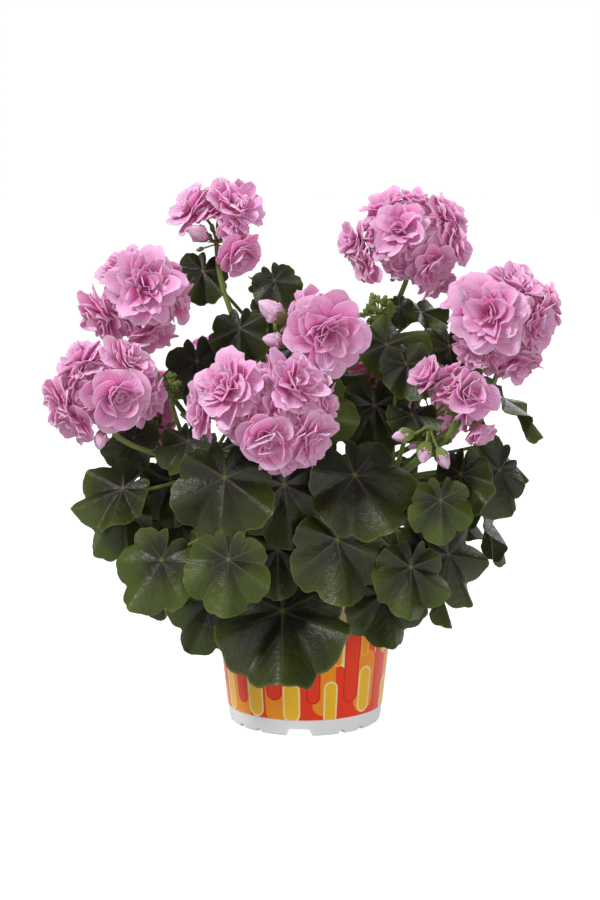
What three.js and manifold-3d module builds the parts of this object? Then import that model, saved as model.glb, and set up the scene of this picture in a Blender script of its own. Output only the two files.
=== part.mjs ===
// Potted double-flowered pelargonium in a round plastic pot, in millimetres, +Z up.
// The origin is the centre of the pot's underside, on the surface it stands on. The front is -Y.
import * as THREE from 'three';
import { mergeVertices } from 'three/addons/utils/BufferGeometryUtils.js';
import Module from 'manifold-3d';

const wasm = await Module();
wasm.setup();

// Driving dimensions of the pot
const POT_HEIGHT = 104;
const POT_RIM_RADIUS = 65;
const POT_RIM_DEPTH = 14;
const POT_NECK_RADIUS = 62.6;
const POT_FOOT_RADIUS = 53;
const POT_WALL = 1.8;
const POT_FACETS = 36;
const FOOT_HEIGHT = 5;
const POT_FLOOR = 7.5;
const FLOOR_BEVEL = 3;
const FOOT_BEVEL = 2;
const LABEL_BOTTOM = 11;
const FOOT_WIDTH = 7;
const FOOT_NOTCH_TURN = -4.3;
const WIDE_NOTCH = { width: 19, height: 4.8, at: [0, 180] };
const SMALL_NOTCH = { width: 3.2, height: 2.4, at: [33, 51, 70, 135, 225, 290, 309, 327] };
const DRAIN_RADIUS = 3.5;
const DRAIN_CIRCLE = 30;
const DRAIN_COUNT = 4;

// Driving dimensions of the soil and the stems
const SOIL_TOP = 92;
const SOIL_GAP = 0.3;
const SOIL_SHOULDER = 14;
const SOIL_BEVEL = 4;
const SOIL_EDGE_DROP = 2;
const SOIL_LUMPS = 3.4;
const SOIL_RINGS = 4;
const SOIL_FACETS = 20;
const STEM_FOOT = 46;
const STEM_COLLAR = 6;
const STEM_LIFT = 28;
const STEM_STEPS = 5;
const STEM_SIDES = 6;
const STEM_RADIUS = 4.4;
const STEM_TIP_RADIUS = 2.8;
const HOLE_RADIUS = 5.3;
const HOLE_SIDES = 8;

// Driving dimensions of the leaves
const BLADE_THICKNESS = 0.8;
const LARGE_LEAF = 29;
const MIDDLE_LEAF = 23;
const JUNCTION_OFFSET = 0.3;
const LOBE_ANGLE = THREE.MathUtils.degToRad(58);
const LOBE_DEPTH = 0.12;
const SCALLOP_DEPTH = 0.03;
const SLIT_ANGLE = THREE.MathUtils.degToRad(16);
const PETIOLE_RADIUS = 1.3;
const PETIOLE_SIDES = 3;
const PEDUNCLE_RADIUS = 1.9;
const PEDUNCLE_SIDES = 4;
const CLUSTER_RADIUS = 1.4;
const STALK_TAPER = 0.3;
const JUNCTION_GAP = 0.5;
const CLEARANCE = 3.2;
const STALK_GAP = 1.9;

// Driving dimensions of the flower heads
const PETAL_THICKNESS = 0.7;
const CORE_GAP = 0.5;
const PEDICEL_RADIUS = 1;
const NECK_RADIUS = 2;
const PRESS_GAP = 1;
const OUTER_RISE = 0.36;
const INNER_SPREAD = 0.66;
const INNER_RISE = 0.6;
const OUTER_MARKS = [[0.2, 1], [0.66, 0.97], [0.93, 0.62]];
const INNER_MARKS = [[0.4, 1], [0.9, 0.7]];
const SMALL_FLORET = 20;
const SIDE_HEAD = 45;
const FACE_TURN = 0.22;
const FLORET_SPIN = 0.9;
const OUTER_RUFFLE = 0.07;
const INNER_RUFFLE = 0.05;
const NECK_SIDES = 3;
const NECK_DROP = 1.2;
const NECK_SINK = 0.45;

// Slivers shorter than this are merged into the facets beside them
const SLIVER = 0.1;

const FINISHES = {
  pot: { color: 0xe9e7e6, roughness: 0.42, metalness: 0 },
  soil: { color: 0x3b2a20, roughness: 0.95, metalness: 0 },
  shoot: { color: 0x44582f, roughness: 0.6, metalness: 0 },
  bloom: { color: 0xe2a3cd, roughness: 0.55, metalness: 0 },
};

// Stems: place of the foot in the soil, and the tip
const STEMS = [
  { foot: [-26, -20], tip: [-66, -50, 168] },
  { foot: [-2, -33], tip: [-14, -66, 178] },
  { foot: [27, -20], tip: [60, -48, 176] },
  { foot: [-33, 12], tip: [-66, 26, 182] },
  { foot: [-8, 34], tip: [-22, 70, 172] },
  { foot: [24, 24], tip: [56, 52, 174] },
  { foot: [0, 0], tip: [2, 4, 222] },
];

// Leaves seen from the front: junction x, y, z, blade radius, then facing, rise and roll in degrees.
// Facing 0 looks to the front and 90 to the right, rise 90 looks up, a positive roll turns the tip right.
const FRONT_LEAVES = [
  [-52, -128, 193, 35, 0, 15, -5],
  [-15, -99, 98, 46, 0, 50, 0],
  [34, -104, 193, 37, 15, 35, 20],
  [-120, -80, 176, 28, -25, 42, -50],
  [-93, -108, 134, 30, -20, 12, -25],
  [-50, -122, 137, 29, 5, 12, -5],
  [21, -116, 149, 34, 10, 15, 5],
  [51, -84, 107, 29, 15, 12, 5],
  [95, -72, 130, 29, 40, 12, 15],
  [130, -48, 183, 29, 42, 15, -60],
  [-12, -112, 185, 33, 8, 15, 5],
  [83, -92, 172, 23, 15, 5, 0],
  [-66, -84, 101, 29, -25, 15, -20],
  [54, -45, 267, 30, 20, 50, 50],
  [-44, -25, 276, 22, 0, 30, 0],
  [137, 0, 225, 30, 90, 45, 0],
  [-19, 5, 318, 24, 40, 65, 60],
  [-71, 28, 310, 21, 0, 30, -20],
  [-121, -62, 158, 29, -30, 15, -30],
  [63, -96, 124, 27, 20, 20, -10],
  [106, -70, 182, 28, -40, 25, 0],
  [-18, -88, 137, 26, 0, 10, 0],
  [-91, -66, 181, 26, -10, 20, 10],
  [-96, -74, 160, 29, -15, 15, 0],
  [46, -50, 227, 28, 5, 20, 0],
  [-2, -72, 225, 30, 10, 10, 80],
  [-76, -45, 262, 26, -10, 25, 10],
  [64, -62, 252, 22, 15, 35, 20],
  [98, -10, 262, 26, 10, 20, 0],
  [81, 15, 288, 18, 20, 60, 30],
  [64, 10, 286, 12, 0, 10, 0],
  [-113, -50, 204, 22, -30, 30, 0],
  [-77, -90, 213, 22, -10, 50, 0],
  [80, -62, 135, 26, 20, 10, 0],
  [70, -74, 224, 20, 10, 60, 0],
  [-21, 10, 300, 18, 0, 20, 20],
  [-29, 0, 290, 18, -20, 20, 0],
];

// Leaves of the crown, seen from above, in the same terms
const CROWN_LEAVES = [
  [-8, 10, 252, 30, 0, 74, 60],
  [-50, -18, 230, 29, -50, 62, -30],
  [38, 26, 246, 30, 120, 68, 0],
  [-76, 8, 222, 29, -100, 55, 10],
  [88, 12, 218, 28, 80, 52, -20],
  [-34, 44, 240, 30, 190, 64, 20],
  [20, -20, 236, 27, 20, 66, 40],
  [12, 66, 232, 30, 170, 60, -30],
  [-84, -30, 200, 27, -70, 50, 0],
];

// Leaves on the sides and the back stand on a dome in rings: how many, height, reach, blade radius, rise
const BACK_RINGS = [
  { count: 8, height: 106, reach: 93, radius: 30, rise: 22, start: -112, sweep: 224 },
  { count: 8, height: 146, reach: 118, radius: 32, rise: 18, start: -106, sweep: 212 },
  { count: 8, height: 184, reach: 114, radius: 30, rise: 28, start: -100, sweep: 200 },
  { count: 5, height: 214, reach: 88, radius: 28, rise: 48, start: -88, sweep: 176 },
  { count: 4, height: 160, reach: 74, radius: 28, rise: 35, start: -90, sweep: 180 },
];

// Flower heads: centre, core radius, then each floret's offset from the centre and its radius
const HEADS = [
  {
    name: 'bloom_top_left',
    centre: [-61, 20, 342],
    core: 12,
    florets: [[-18, 0, 13, 22], [15, -8, 15, 25], [17, -20, -19, 19], [3, 16, 15, 21]],
    buds: [[-12, -14, -4, 8]],
  },
  {
    name: 'bloom_upper_left',
    centre: [-112, -32, 298],
    core: 15,
    florets: [
      [7, -24, 10, 27], [-25, -8, -14, 22], [27, -2, -2, 19],
      [10, -10, -25, 18], [-10, -2, 22, 20], [14, 12, 21, 18],
    ],
    buds: [],
  },
  {
    name: 'bloom_left',
    centre: [-131, -80, 241],
    core: 15,
    florets: [
      [-16, -2, 20, 21], [17, -8, 21, 21], [11, -24, -2, 23],
      [-31, -5, -7, 20], [-19, -10, -20, 18], [30, -4, -4, 19],
    ],
    buds: [[-2, -12, -31, 6]],
  },
  {
    name: 'bloom_front',
    centre: [-30, -108, 231],
    core: 18,
    florets: [
      [-21, -20, 19, 26], [-37, -6, 2, 21], [25, -18, 21, 25], [42, -4, 5, 19],
      [6, -30, -14, 21], [34, -18, -16, 22], [2, 8, 22, 21], [20, -12, -28, 19],
    ],
    buds: [],
  },
  {
    name: 'bloom_centre',
    centre: [11, -75, 281],
    core: 12,
    florets: [[3, -18, -3, 29], [-15, 6, 10, 19], [16, 8, 7, 18]],
    buds: [[-33, -2, 12, 9], [-31, -6, -7, 7]],
  },
  {
    name: 'bloom_top_right',
    centre: [71, 20, 329],
    core: 16,
    florets: [
      [-39, -4, 4, 17], [-32, -8, -13, 16], [-7, -24, 13, 22], [-16, -2, 27, 20], [5, 5, 29, 19],
      [27, 0, 22, 20], [33, -4, 3, 19], [16, -18, -13, 21], [20, -8, -26, 17],
    ],
    buds: [],
  },
  {
    name: 'bloom_right',
    centre: [132, -35, 282],
    core: 17,
    florets: [
      [-12, -28, 7, 29], [21, -12, -2, 24], [8, -4, 25, 23], [11, -10, -29, 20],
      [-27, -8, 16, 20], [-17, -14, -19, 21], [32, 6, 11, 18],
    ],
    buds: [],
  },
  {
    name: 'bloom_lower_right',
    centre: [97, -90, 236],
    core: 10,
    florets: [[-17, -4, 15, 16], [8, -12, 6, 20], [16, -2, -19, 15], [-2, 8, 16, 15]],
    buds: [],
  },
  {
    name: 'bloom_back_left',
    centre: [-56, 98, 226],
    core: 16,
    florets: [[-8, 24, 10, 26], [22, 12, 12, 23], [-26, 6, 0, 22], [4, 14, -24, 21], [-4, -6, 26, 22]],
    buds: [],
  },
  {
    name: 'bloom_back_right',
    centre: [46, 109, 216],
    core: 16,
    florets: [[6, 26, 6, 26], [-24, 12, 8, 22], [26, 8, 4, 22], [0, 14, -24, 20], [2, -4, 26, 23]],
    buds: [],
  },
  {
    name: 'bloom_side_right',
    centre: [92, 56, 214],
    core: 15,
    florets: [[24, 12, 8, 24], [14, 24, -12, 20], [4, 0, 26, 22], [22, -16, -4, 19]],
    buds: [],
  },
  {
    name: 'bloom_side_left',
    centre: [-106, 48, 204],
    core: 15,
    florets: [[-22, 14, 8, 24], [-20, -14, -2, 20], [-4, 24, -10, 20], [-2, 2, 26, 22]],
    buds: [],
  },
];

// Green bud clusters on stalks of their own, and the buds that hang round the lower right head
const BUD_CLUSTERS = [
  { centre: [-90, -44, 236], buds: [[-6, -4, 6, 4], [5, -5, 5, 4], [0, 3, 9, 4], [-2, -7, -2, 4]] },
  {
    centre: [50, -12, 284],
    buds: [[-8, -4, 3, 5], [4, -4, 8, 5], [-3, 2, 9, 4], [8, 1, 1, 4], [-4, -6, -4, 4]],
  },
  { centre: [80, -92, 216], buds: [[-17, -6, -2, 6], [-3, -8, -13, 6], [9, -6, -17, 6], [-8, 3, -8, 5]] },
];

const up = new THREE.Vector3(0, 0, 1);

function vector(values) {
  return new THREE.Vector3(values[0], values[1], values[2]);
}

// Point at a distance along each of two or three directions from a start
function along(start, ...steps) {
  const point = start.clone();
  for (const [direction, distance] of steps) {
    point.addScaledVector(direction, distance);
  }
  return point;
}

// Repeatable random draws between 0 and 1
function randomDraws(seed) {
  let state = seed;
  return () => {
    state = (state * 16807) % 2147483647;
    return state / 2147483647;
  };
}

// A closed solid from its points and its triangles
function solidFrom(points, triangles) {
  const vertProperties = new Float32Array(points.flatMap((point) => [point.x, point.y, point.z]));
  const triVerts = new Uint32Array(triangles.flat());
  return new wasm.Manifold(new wasm.Mesh({ numProp: 3, vertProperties, triVerts }));
}

function solidFromGeometry(source) {
  const bare = source.clone();
  bare.deleteAttribute('normal');
  bare.deleteAttribute('uv');
  const welded = mergeVertices(bare, 1e-4);
  const place = welded.getAttribute('position');
  const points = [];
  for (let i = 0; i < place.count; i++) {
    points.push(new THREE.Vector3().fromBufferAttribute(place, i));
  }
  const corners = Array.from(welded.index.array);
  const triangles = [];
  for (let i = 0; i < corners.length; i += 3) {
    triangles.push([corners[i], corners[i + 1], corners[i + 2]]);
  }
  return solidFrom(points, triangles);
}

function fuse(solids) {
  return solids.length === 1 ? solids[0] : wasm.Manifold.union(solids);
}

// Triangles between two rings of points, each ring a list of corners in order of their angle
function stitch(low, lowStart, high, highStart) {
  const triangles = [];
  let i = 0;
  let k = 0;
  while (i < low.length || k < high.length) {
    const lowDone = low.length === 1 || i === low.length;
    const highDone = high.length === 1 || k === high.length;
    const lowNext = lowDone ? Infinity : (low[i + 1]?.angle ?? 2 * Math.PI);
    const highNext = highDone ? Infinity : (high[k + 1]?.angle ?? 2 * Math.PI);
    if (lowNext === Infinity && highNext === Infinity) {
      break;
    }
    const here = lowStart + (i % low.length);
    const there = highStart + (k % high.length);
    if (lowNext <= highNext) {
      i += 1;
      triangles.push([here, lowStart + (i % low.length), there]);
    } else {
      k += 1;
      triangles.push([here, highStart + (k % high.length), there]);
    }
  }
  return triangles;
}

// A closed skin over rings of corners, capped at both ends
function skin(rings) {
  const points = [];
  const triangles = [];
  const starts = rings.map((ring) => points.push(...ring.map((corner) => corner.point)) - ring.length);
  for (let i = 0; i + 1 < rings.length; i++) {
    triangles.push(...stitch(rings[i], starts[i], rings[i + 1], starts[i + 1]));
  }
  const last = starts[rings.length - 1];
  for (let i = 1; i + 1 < rings[0].length; i++) {
    triangles.push([0, i + 1, i]);
  }
  for (let i = 1; i + 1 < rings[rings.length - 1].length; i++) {
    triangles.push([last, last + i, last + i + 1]);
  }
  return solidFrom(points, triangles);
}

function roundRing(centre, side, cross, radius, count) {
  return Array.from({ length: count }, (_, i) => {
    const angle = (2 * Math.PI * i) / count;
    const point = along(centre, [side, radius * Math.cos(angle)], [cross, radius * Math.sin(angle)]);
    return { angle, point };
  });
}

// Rings along a path that thins out, lined up with a given side direction at its end
function stalkRings(path, startRadius, endRadius, count, endSide) {
  const rings = [];
  let side = endSide;
  for (let step = path.length - 1; step >= 0; step--) {
    const before = path[Math.max(step - 1, 0)];
    const after = path[Math.min(step + 1, path.length - 1)];
    const run = after.clone().sub(before).normalize();
    side = side.clone().addScaledVector(run, -side.dot(run)).normalize();
    const cross = new THREE.Vector3().crossVectors(run, side);
    const radius = THREE.MathUtils.lerp(startRadius, endRadius, step / (path.length - 1));
    rings.unshift(roundRing(path[step], side, cross, radius, count));
  }
  return rings;
}

function stalk(path, startRadius, endRadius, count) {
  return skin(stalkRings(path, startRadius, endRadius, count, new THREE.Vector3(1, 0, 0)));
}

// Leaf blade: outline, height and frame
function cycle(value) {
  return value - Math.floor(value);
}

function bladeReach(angle) {
  const across = JUNCTION_OFFSET * Math.sin(angle);
  const round = JUNCTION_OFFSET * Math.cos(angle) + Math.sqrt(1 - across * across);
  const lobe = 2 * Math.abs(cycle(angle / LOBE_ANGLE + 0.5) - 0.5);
  const scallop = 2 * Math.abs(cycle((3 * angle) / LOBE_ANGLE + 0.5) - 0.5);
  const slit = Math.min(1, (Math.PI - Math.abs(angle)) / SLIT_ANGLE);
  const edge = (1 - LOBE_DEPTH * lobe ** 3) * (1 - SCALLOP_DEPTH * scallop ** 2);
  return round * edge * (0.25 + 0.75 * Math.max(slit, 0) ** 0.6);
}

function bladeHeight(leaf, angle, reach) {
  const bowl = 0.1 * reach - 0.14 * reach * reach;
  const fold = 0.045 * reach ** 1.5 * Math.cos((2 * Math.PI * angle) / LOBE_ANGLE);
  const wave = 0.06 * Math.sin(2 * angle + leaf.phase) + 0.04 * Math.sin(3 * angle + 2 * leaf.phase);
  return leaf.radius * (bowl + fold + wave * reach * reach);
}

function makeLeaf(values, phase) {
  const [x, y, z, radius, facing, rise, roll] = values;
  const turn = THREE.MathUtils.degToRad(facing);
  const lift = THREE.MathUtils.degToRad(rise);
  const spin = THREE.MathUtils.degToRad(roll);
  const normal = new THREE.Vector3(Math.sin(turn), -Math.cos(turn), 0);
  normal.multiplyScalar(Math.cos(lift)).addScaledVector(up, Math.sin(lift));
  const fall = up.clone().negate().addScaledVector(normal, normal.z).normalize();
  const cross = new THREE.Vector3().crossVectors(normal, fall);
  const tip = along(new THREE.Vector3(), [fall, Math.cos(spin)], [cross, Math.sin(spin)]);
  const side = new THREE.Vector3().crossVectors(normal, tip);
  return { junction: new THREE.Vector3(x, y, z), radius, phase, normal, tip, side };
}

function bladePoint(leaf, angle, reach, above = 0) {
  const out = leaf.radius * reach;
  const height = bladeHeight(leaf, angle, reach) + above;
  const tipward = [leaf.tip, out * Math.cos(angle)];
  const sideward = [leaf.side, out * Math.sin(angle)];
  return along(leaf.junction, tipward, sideward, [leaf.normal, height]);
}

// How far a point lies above the blade's surface, or null where it isn't over the blade
function heightOverBlade(leaf, point, margin) {
  const offset = point.clone().sub(leaf.junction);
  const tipward = offset.dot(leaf.tip);
  const sideward = offset.dot(leaf.side);
  const out = Math.hypot(tipward, sideward);
  const angle = Math.atan2(sideward, tipward);
  if (out > leaf.radius * bladeReach(angle) + margin) {
    return null;
  }
  const reach = Math.min(out / leaf.radius, 1.3);
  return offset.dot(leaf.normal) - bladeHeight(leaf, angle, reach);
}

const BLADE_ANGLES = {
  large: [13, 29, 45, 72, 88, 106, 134, 160],
  middle: [14, 29, 45, 74, 90, 118, 154],
  small: [0, 30, 58, 88, 118, 154],
};

// A leaf in one piece: its petiole widens under the junction into the blade
function leafSolid(leaf, path) {
  const size = leaf.radius > LARGE_LEAF ? 'large' : leaf.radius > MIDDLE_LEAF ? 'middle' : 'small';
  const half = BLADE_ANGLES[size];
  const mirrored = half.filter((degree) => degree > 0).map((degree) => 360 - degree);
  const degrees = [...half, 180, ...mirrored.reverse()];
  const edge = (above) =>
    degrees.map((degree) => {
      const angle = THREE.MathUtils.degToRad(degree > 180 ? degree - 360 : degree);
      const point = bladePoint(leaf, angle, bladeReach(angle), above);
      return { angle: THREE.MathUtils.degToRad(degree), point };
    });
  const under = along(leaf.junction, [leaf.normal, -BLADE_THICKNESS - JUNCTION_GAP]);
  const route = [...path.slice(0, -1), under];
  const rings = stalkRings(route, PETIOLE_RADIUS + STALK_TAPER, PETIOLE_RADIUS, PETIOLE_SIDES, leaf.tip);
  rings[rings.length - 1] = roundRing(under, leaf.tip, leaf.side, PETIOLE_RADIUS, PETIOLE_SIDES);
  const top = [{ angle: 0, point: bladePoint(leaf, 0, 0, BLADE_THICKNESS / 2) }];
  return skin([...rings, edge(-BLADE_THICKNESS / 2), edge(BLADE_THICKNESS / 2), top]);
}

// Points along the blade's edge and across it, for the clearance tests
function bladeSamples(leaf) {
  const samples = [];
  for (let degree = -176; degree < 180; degree += 8) {
    const angle = THREE.MathUtils.degToRad(degree);
    for (const share of [1, 0.7, 0.4]) {
      samples.push(bladePoint(leaf, angle, bladeReach(angle) * share));
    }
  }
  return samples;
}

// Floret: frame, petal whorls and the space it fills
function makeFloret(centre, values, order) {
  const offset = vector(values);
  const axis = offset.clone().normalize();
  axis.y -= FACE_TURN * (centre.y < SIDE_HEAD ? 1 : -1);
  axis.normalize();
  const face = centre.clone().add(offset);
  const radius = values[3];
  const level = new THREE.Vector3(axis.z, 0.3, -axis.x).cross(axis).normalize();
  const upright = new THREE.Vector3().crossVectors(axis, level);
  const spin = FLORET_SPIN * order;
  const side = along(new THREE.Vector3(), [level, Math.cos(spin)], [upright, Math.sin(spin)]);
  const cross = new THREE.Vector3().crossVectors(axis, side);
  const root = along(face, [axis, -OUTER_RISE * radius]);
  return { face, root, axis, side, cross, radius };
}

// Petals press against those of the next floret and stop halfway, where both have equal room
function pressedShare(floret, neighbours, point) {
  let share = 1;
  const room = (own, spot) => spot.distanceToSquared(own.face) - own.radius ** 2;
  for (const other of neighbours) {
    if (other === floret) {
      continue;
    }
    const margin = 2 * PRESS_GAP * floret.face.distanceTo(other.face);
    const atRoot = room(floret, floret.root) - room(other, floret.root) + margin;
    const atPoint = room(floret, point) - room(other, point) + margin;
    if (atRoot < 0 && atPoint > 0) {
      share = Math.min(share, atRoot / (atRoot - atPoint));
    }
  }
  return share;
}

// Corners of one whorl's rim: each petal's two shoulders and the notch after it
function whorl(floret, neighbours, petals, marks, spread, rise, ruffle) {
  const rim = [];
  for (let petal = 0; petal < petals; petal++) {
    marks.forEach(([place, share], part) => {
      const angle = ((petal + place) * 2 * Math.PI) / petals;
      const out = spread * floret.radius * share;
      const wave = part + 1 < marks.length ? ruffle * floret.radius * Math.sin(2.4 * petal + 1.7 * part) : 0;
      const point = along(
        floret.root,
        [floret.side, out * Math.cos(angle)],
        [floret.cross, out * Math.sin(angle)],
        [floret.axis, rise * floret.radius * share + wave],
      );
      const pressed = pressedShare(floret, neighbours, point);
      rim.push({ angle, point: point.lerp(floret.root, 1 - pressed) });
    });
  }
  return rim;
}

function raised(ring, direction, distance) {
  return ring.map(({ angle, point }) => ({ angle, point: along(point, [direction, distance]) }));
}

// A double floret in one skin: neck, spreading outer petals, groove, upright inner petals, heart
function floretSolid(head, floret) {
  const { root, axis, side, cross } = floret;
  const thickness = (spread, rise) => PETAL_THICKNESS / Math.sin(Math.atan2(spread, rise));
  const small = floret.radius < SMALL_FLORET || head.centre.y > SIDE_HEAD;
  const outer = whorl(floret, head.florets, small ? 4 : 5, OUTER_MARKS, 1, OUTER_RISE, OUTER_RUFFLE);
  const count = small ? 3 : 4;
  const inner = whorl(floret, head.florets, count, INNER_MARKS, INNER_SPREAD, INNER_RISE, INNER_RUFFLE);
  const throat = along(root, [axis, -NECK_DROP]);
  const outward = throat.clone().sub(head.centre).normalize();
  const start = along(head.centre, [outward, NECK_SINK * head.core]);
  return skin([
    stalkRings([start, throat], NECK_RADIUS, NECK_RADIUS, NECK_SIDES, side)[0],
    roundRing(throat, side, cross, NECK_RADIUS, NECK_SIDES),
    raised(outer, axis, -thickness(1, OUTER_RISE)),
    outer,
    roundRing(root, side, cross, NECK_RADIUS, 4),
    inner,
    raised(inner, axis, thickness(INNER_SPREAD, INNER_RISE)),
    [{ angle: 0, point: along(root, [axis, 1 + thickness(INNER_SPREAD, INNER_RISE)]) }],
  ]);
}

function floretHolds(floret, point, margin) {
  const offset = point.clone().sub(floret.root);
  const rise = offset.dot(floret.axis);
  const out = Math.sqrt(Math.max(0, offset.lengthSq() - rise * rise));
  if (rise < -2 - margin || rise > 0.75 * floret.radius + margin) {
    return false;
  }
  const wide = 0.2 * floret.radius + Math.max(rise + margin, 0) * 2.4;
  return out < Math.min(floret.radius, wide) + margin;
}

// A bud on its pedicel, in one skin from inside what carries it to the bud's point
function budSolid(root, centre, radius) {
  const run = centre.clone().sub(root).normalize();
  const base = along(centre, [run, -1.3 * radius]);
  const middle = along(centre, [run, -0.4 * radius]);
  const upper = along(centre, [run, 0.6 * radius]);
  const side = new THREE.Vector3(run.z, run.x, run.y).cross(run).normalize();
  const cross = new THREE.Vector3().crossVectors(run, side);
  return skin([
    roundRing(root, side, cross, PEDICEL_RADIUS, 3),
    roundRing(base, side, cross, PEDICEL_RADIUS, 3),
    roundRing(middle, side, cross, radius, 5),
    roundRing(upper, side, cross, 0.85 * radius, 5),
    [{ angle: 0, point: along(centre, [run, 1.6 * radius]) }],
  ]);
}

const heads = HEADS.map((head) => {
  const centre = vector(head.centre);
  const florets = head.florets.map((values, order) => makeFloret(centre, values, order));
  const buds = head.buds.map((values) => ({ centre: centre.clone().add(vector(values)), radius: values[3] }));
  return { name: head.name, core: head.core, centre, florets, buds };
});

function headHolds(head, point, margin) {
  if (point.distanceTo(head.centre) < head.core + margin) {
    return true;
  }
  if (head.buds.some((one) => point.distanceTo(one.centre) < 1.6 * one.radius + margin)) {
    return true;
  }
  return head.florets.some((floret) => {
    if (floretHolds(floret, point, margin)) {
      return true;
    }
    const neck = new THREE.Line3(head.centre, floret.root);
    const nearest = neck.closestPointToPoint(point, true, new THREE.Vector3());
    return nearest.distanceTo(point) < 3 + margin;
  });
}

function potHolds(point, margin) {
  const out = Math.hypot(point.x, point.y);
  const outside = out < POT_RIM_RADIUS + margin && point.z < POT_HEIGHT + margin;
  const inside = out < POT_NECK_RADIUS - 4 - margin && point.z > SOIL_TOP + 3;
  return outside && !inside;
}

// Two blades cross where the edge of one passes through the face of the other
function bladesMeet(one, other) {
  const far = one.junction.distanceTo(other.junction);
  if (far > 1.35 * (one.radius + other.radius)) {
    return false;
  }
  return [[one, other], [other, one]].some(([edge, face]) => {
    let before = null;
    return bladeSamples(edge).some((point, index) => {
      const height = heightOverBlade(face, point, 1.5);
      const near = height !== null && Math.abs(height) < CLEARANCE;
      const sameRow = index % 3 === 0;
      const swapped = sameRow && height !== null && before !== null && height * before < 0;
      before = sameRow ? height : before;
      return near || swapped;
    });
  });
}

function bladeNear(leaf, point, radius) {
  const height = heightOverBlade(leaf, point, radius + 0.5);
  return height !== null && Math.abs(height) < radius + STALK_GAP;
}

// Each leaf moves along its facing, first a little and then more, until it is clear of all before it
const SHIFTS = [0, -3, 3, -6, 6, -9, 9, -12, 12, -16, 16, -20, 20, -25, 25];
const TILTS = [0, 8, -8, 16, -16];

function placeLeaf(values, phase, placed, stalks) {
  for (const tilt of TILTS) {
    for (const shift of SHIFTS) {
      const tilted = [...values];
      tilted[5] += tilt;
      const leaf = makeLeaf(tilted, phase);
      leaf.junction.addScaledVector(leaf.normal, shift);
      const samples = bladeSamples(leaf);
      const inHead = samples.some((point) => heads.some((head) => headHolds(head, point, 1.6)));
      const inPot = samples.some((point) => potHolds(point, 2.5));
      const inStalk = stalks.some((one) => one.points.some((point) => bladeNear(leaf, point, one.radius)));
      if (!inHead && !inPot && !inStalk && !placed.some((other) => bladesMeet(leaf, other))) {
        return leaf;
      }
    }
  }
  return null;
}

function backLeafValues(draw) {
  const values = [];
  for (const ring of BACK_RINGS) {
    for (let i = 0; i < ring.count; i++) {
      const degree = ring.start + (ring.sweep * (i + 0.5 + 0.3 * (draw() - 0.5))) / ring.count;
      const turn = THREE.MathUtils.degToRad(degree);
      const reach = ring.reach * (0.94 + 0.12 * draw());
      const height = ring.height + 14 * (draw() - 0.5);
      const radius = ring.radius * (0.9 + 0.2 * draw());
      const rise = ring.rise + 16 * (draw() - 0.5);
      const roll = 50 * (draw() - 0.5);
      values.push([reach * Math.sin(turn), reach * Math.cos(turn), height, radius, 180 - degree, rise, roll]);
    }
  }
  return values;
}

// Stems and the stalks that grow from them
function bezier(from, lift, pull, to, steps) {
  const curve = new THREE.CubicBezierCurve3(from, lift, pull, to);
  return curve.getPoints(steps);
}

const stems = STEMS.map((stem) => {
  const [x, y] = stem.foot;
  const top = vector(stem.tip);
  const foot = new THREE.Vector3(x, y, STEM_FOOT);
  const collar = new THREE.Vector3(x, y, SOIL_TOP + STEM_COLLAR);
  const lift = new THREE.Vector3(x, y, SOIL_TOP + STEM_LIFT);
  const pull = top.clone().addScaledVector(up, -STEM_LIFT);
  return { path: [foot, ...bezier(collar, lift, pull, top, STEM_STEPS)], parts: [], stalks: [] };
});

// Points every few millimetres along a path
const PATH_STEP = 3;

function finePoints(path) {
  const points = [];
  for (let i = 0; i + 1 < path.length; i++) {
    const length = path[i].distanceTo(path[i + 1]);
    const count = Math.ceil(length / PATH_STEP);
    for (let k = 0; k < count; k++) {
      points.push(path[i].clone().lerp(path[i + 1], k / count));
    }
  }
  points.push(path[path.length - 1]);
  return points;
}

stems.forEach((stem) => {
  stem.stalks.push({ points: finePoints(stem.path), radius: STEM_RADIUS });
});

const leaves = [];
const draw = randomDraws(417);

function growLeaves(list, rear) {
  for (const values of list) {
    const stalks = rear ? stems.flatMap((stem) => stem.stalks) : [];
    const leaf = placeLeaf(values, 2 * Math.PI * draw(), leaves, stalks);
    if (leaf) {
      leaf.rear = rear;
      leaves.push(leaf);
    }
  }
}

// Counts what a stalk would run into: the first number with other shoots and heads, the second with its own
function crossings(points, radius, stem, ownLeaf, ownHead) {
  let foreign = 0;
  let own = 0;
  const gap = radius + STALK_GAP;
  for (const leaf of leaves) {
    if (leaf === ownLeaf) {
      continue;
    }
    if (points.some((point) => bladeNear(leaf, point, radius))) {
      if (leaf.stem === stem) {
        own += 1;
      } else {
        foreign += 1;
      }
    }
  }
  foreign += heads.filter((head) => head !== ownHead && points.some((p) => headHolds(head, p, gap))).length;
  if (ownHead) {
    const inFloret = (floret) => points.some((point) => floretHolds(floret, point, radius));
    foreign += ownHead.florets.filter(inFloret).length;
  }
  foreign += points.slice(6).some((point) => potHolds(point, gap)) ? 1 : 0;
  for (const other of stems) {
    if (other === stem) {
      continue;
    }
    const near = other.stalks.some((one) => {
      const reach = one.radius + radius + 0.8;
      return points.some((point) => one.points.some((q) => q.distanceTo(point) < reach));
    });
    foreign += near ? 1 : 0;
  }
  return [foreign, own];
}

// Ways for a stalk to leave a stem: share of the stem's height, rise at the stem, run-in at its end
const ROUTE_HEIGHTS = [0.95, 0.75, 0.55, 0.35];
const ROUTE_LIFTS = [0.15, 0.4, 0.02];
const ROUTE_BACKS = [0.3, 0.18, 0.45];
const ROUTE_TRIES = 90;
const STALK_STEPS = 3;
const FOREIGN_COST = 1000;
const OWN_COST = 60;
const SLANT_COST = 30;
const PETIOLE_SLANT = 0.4;

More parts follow.
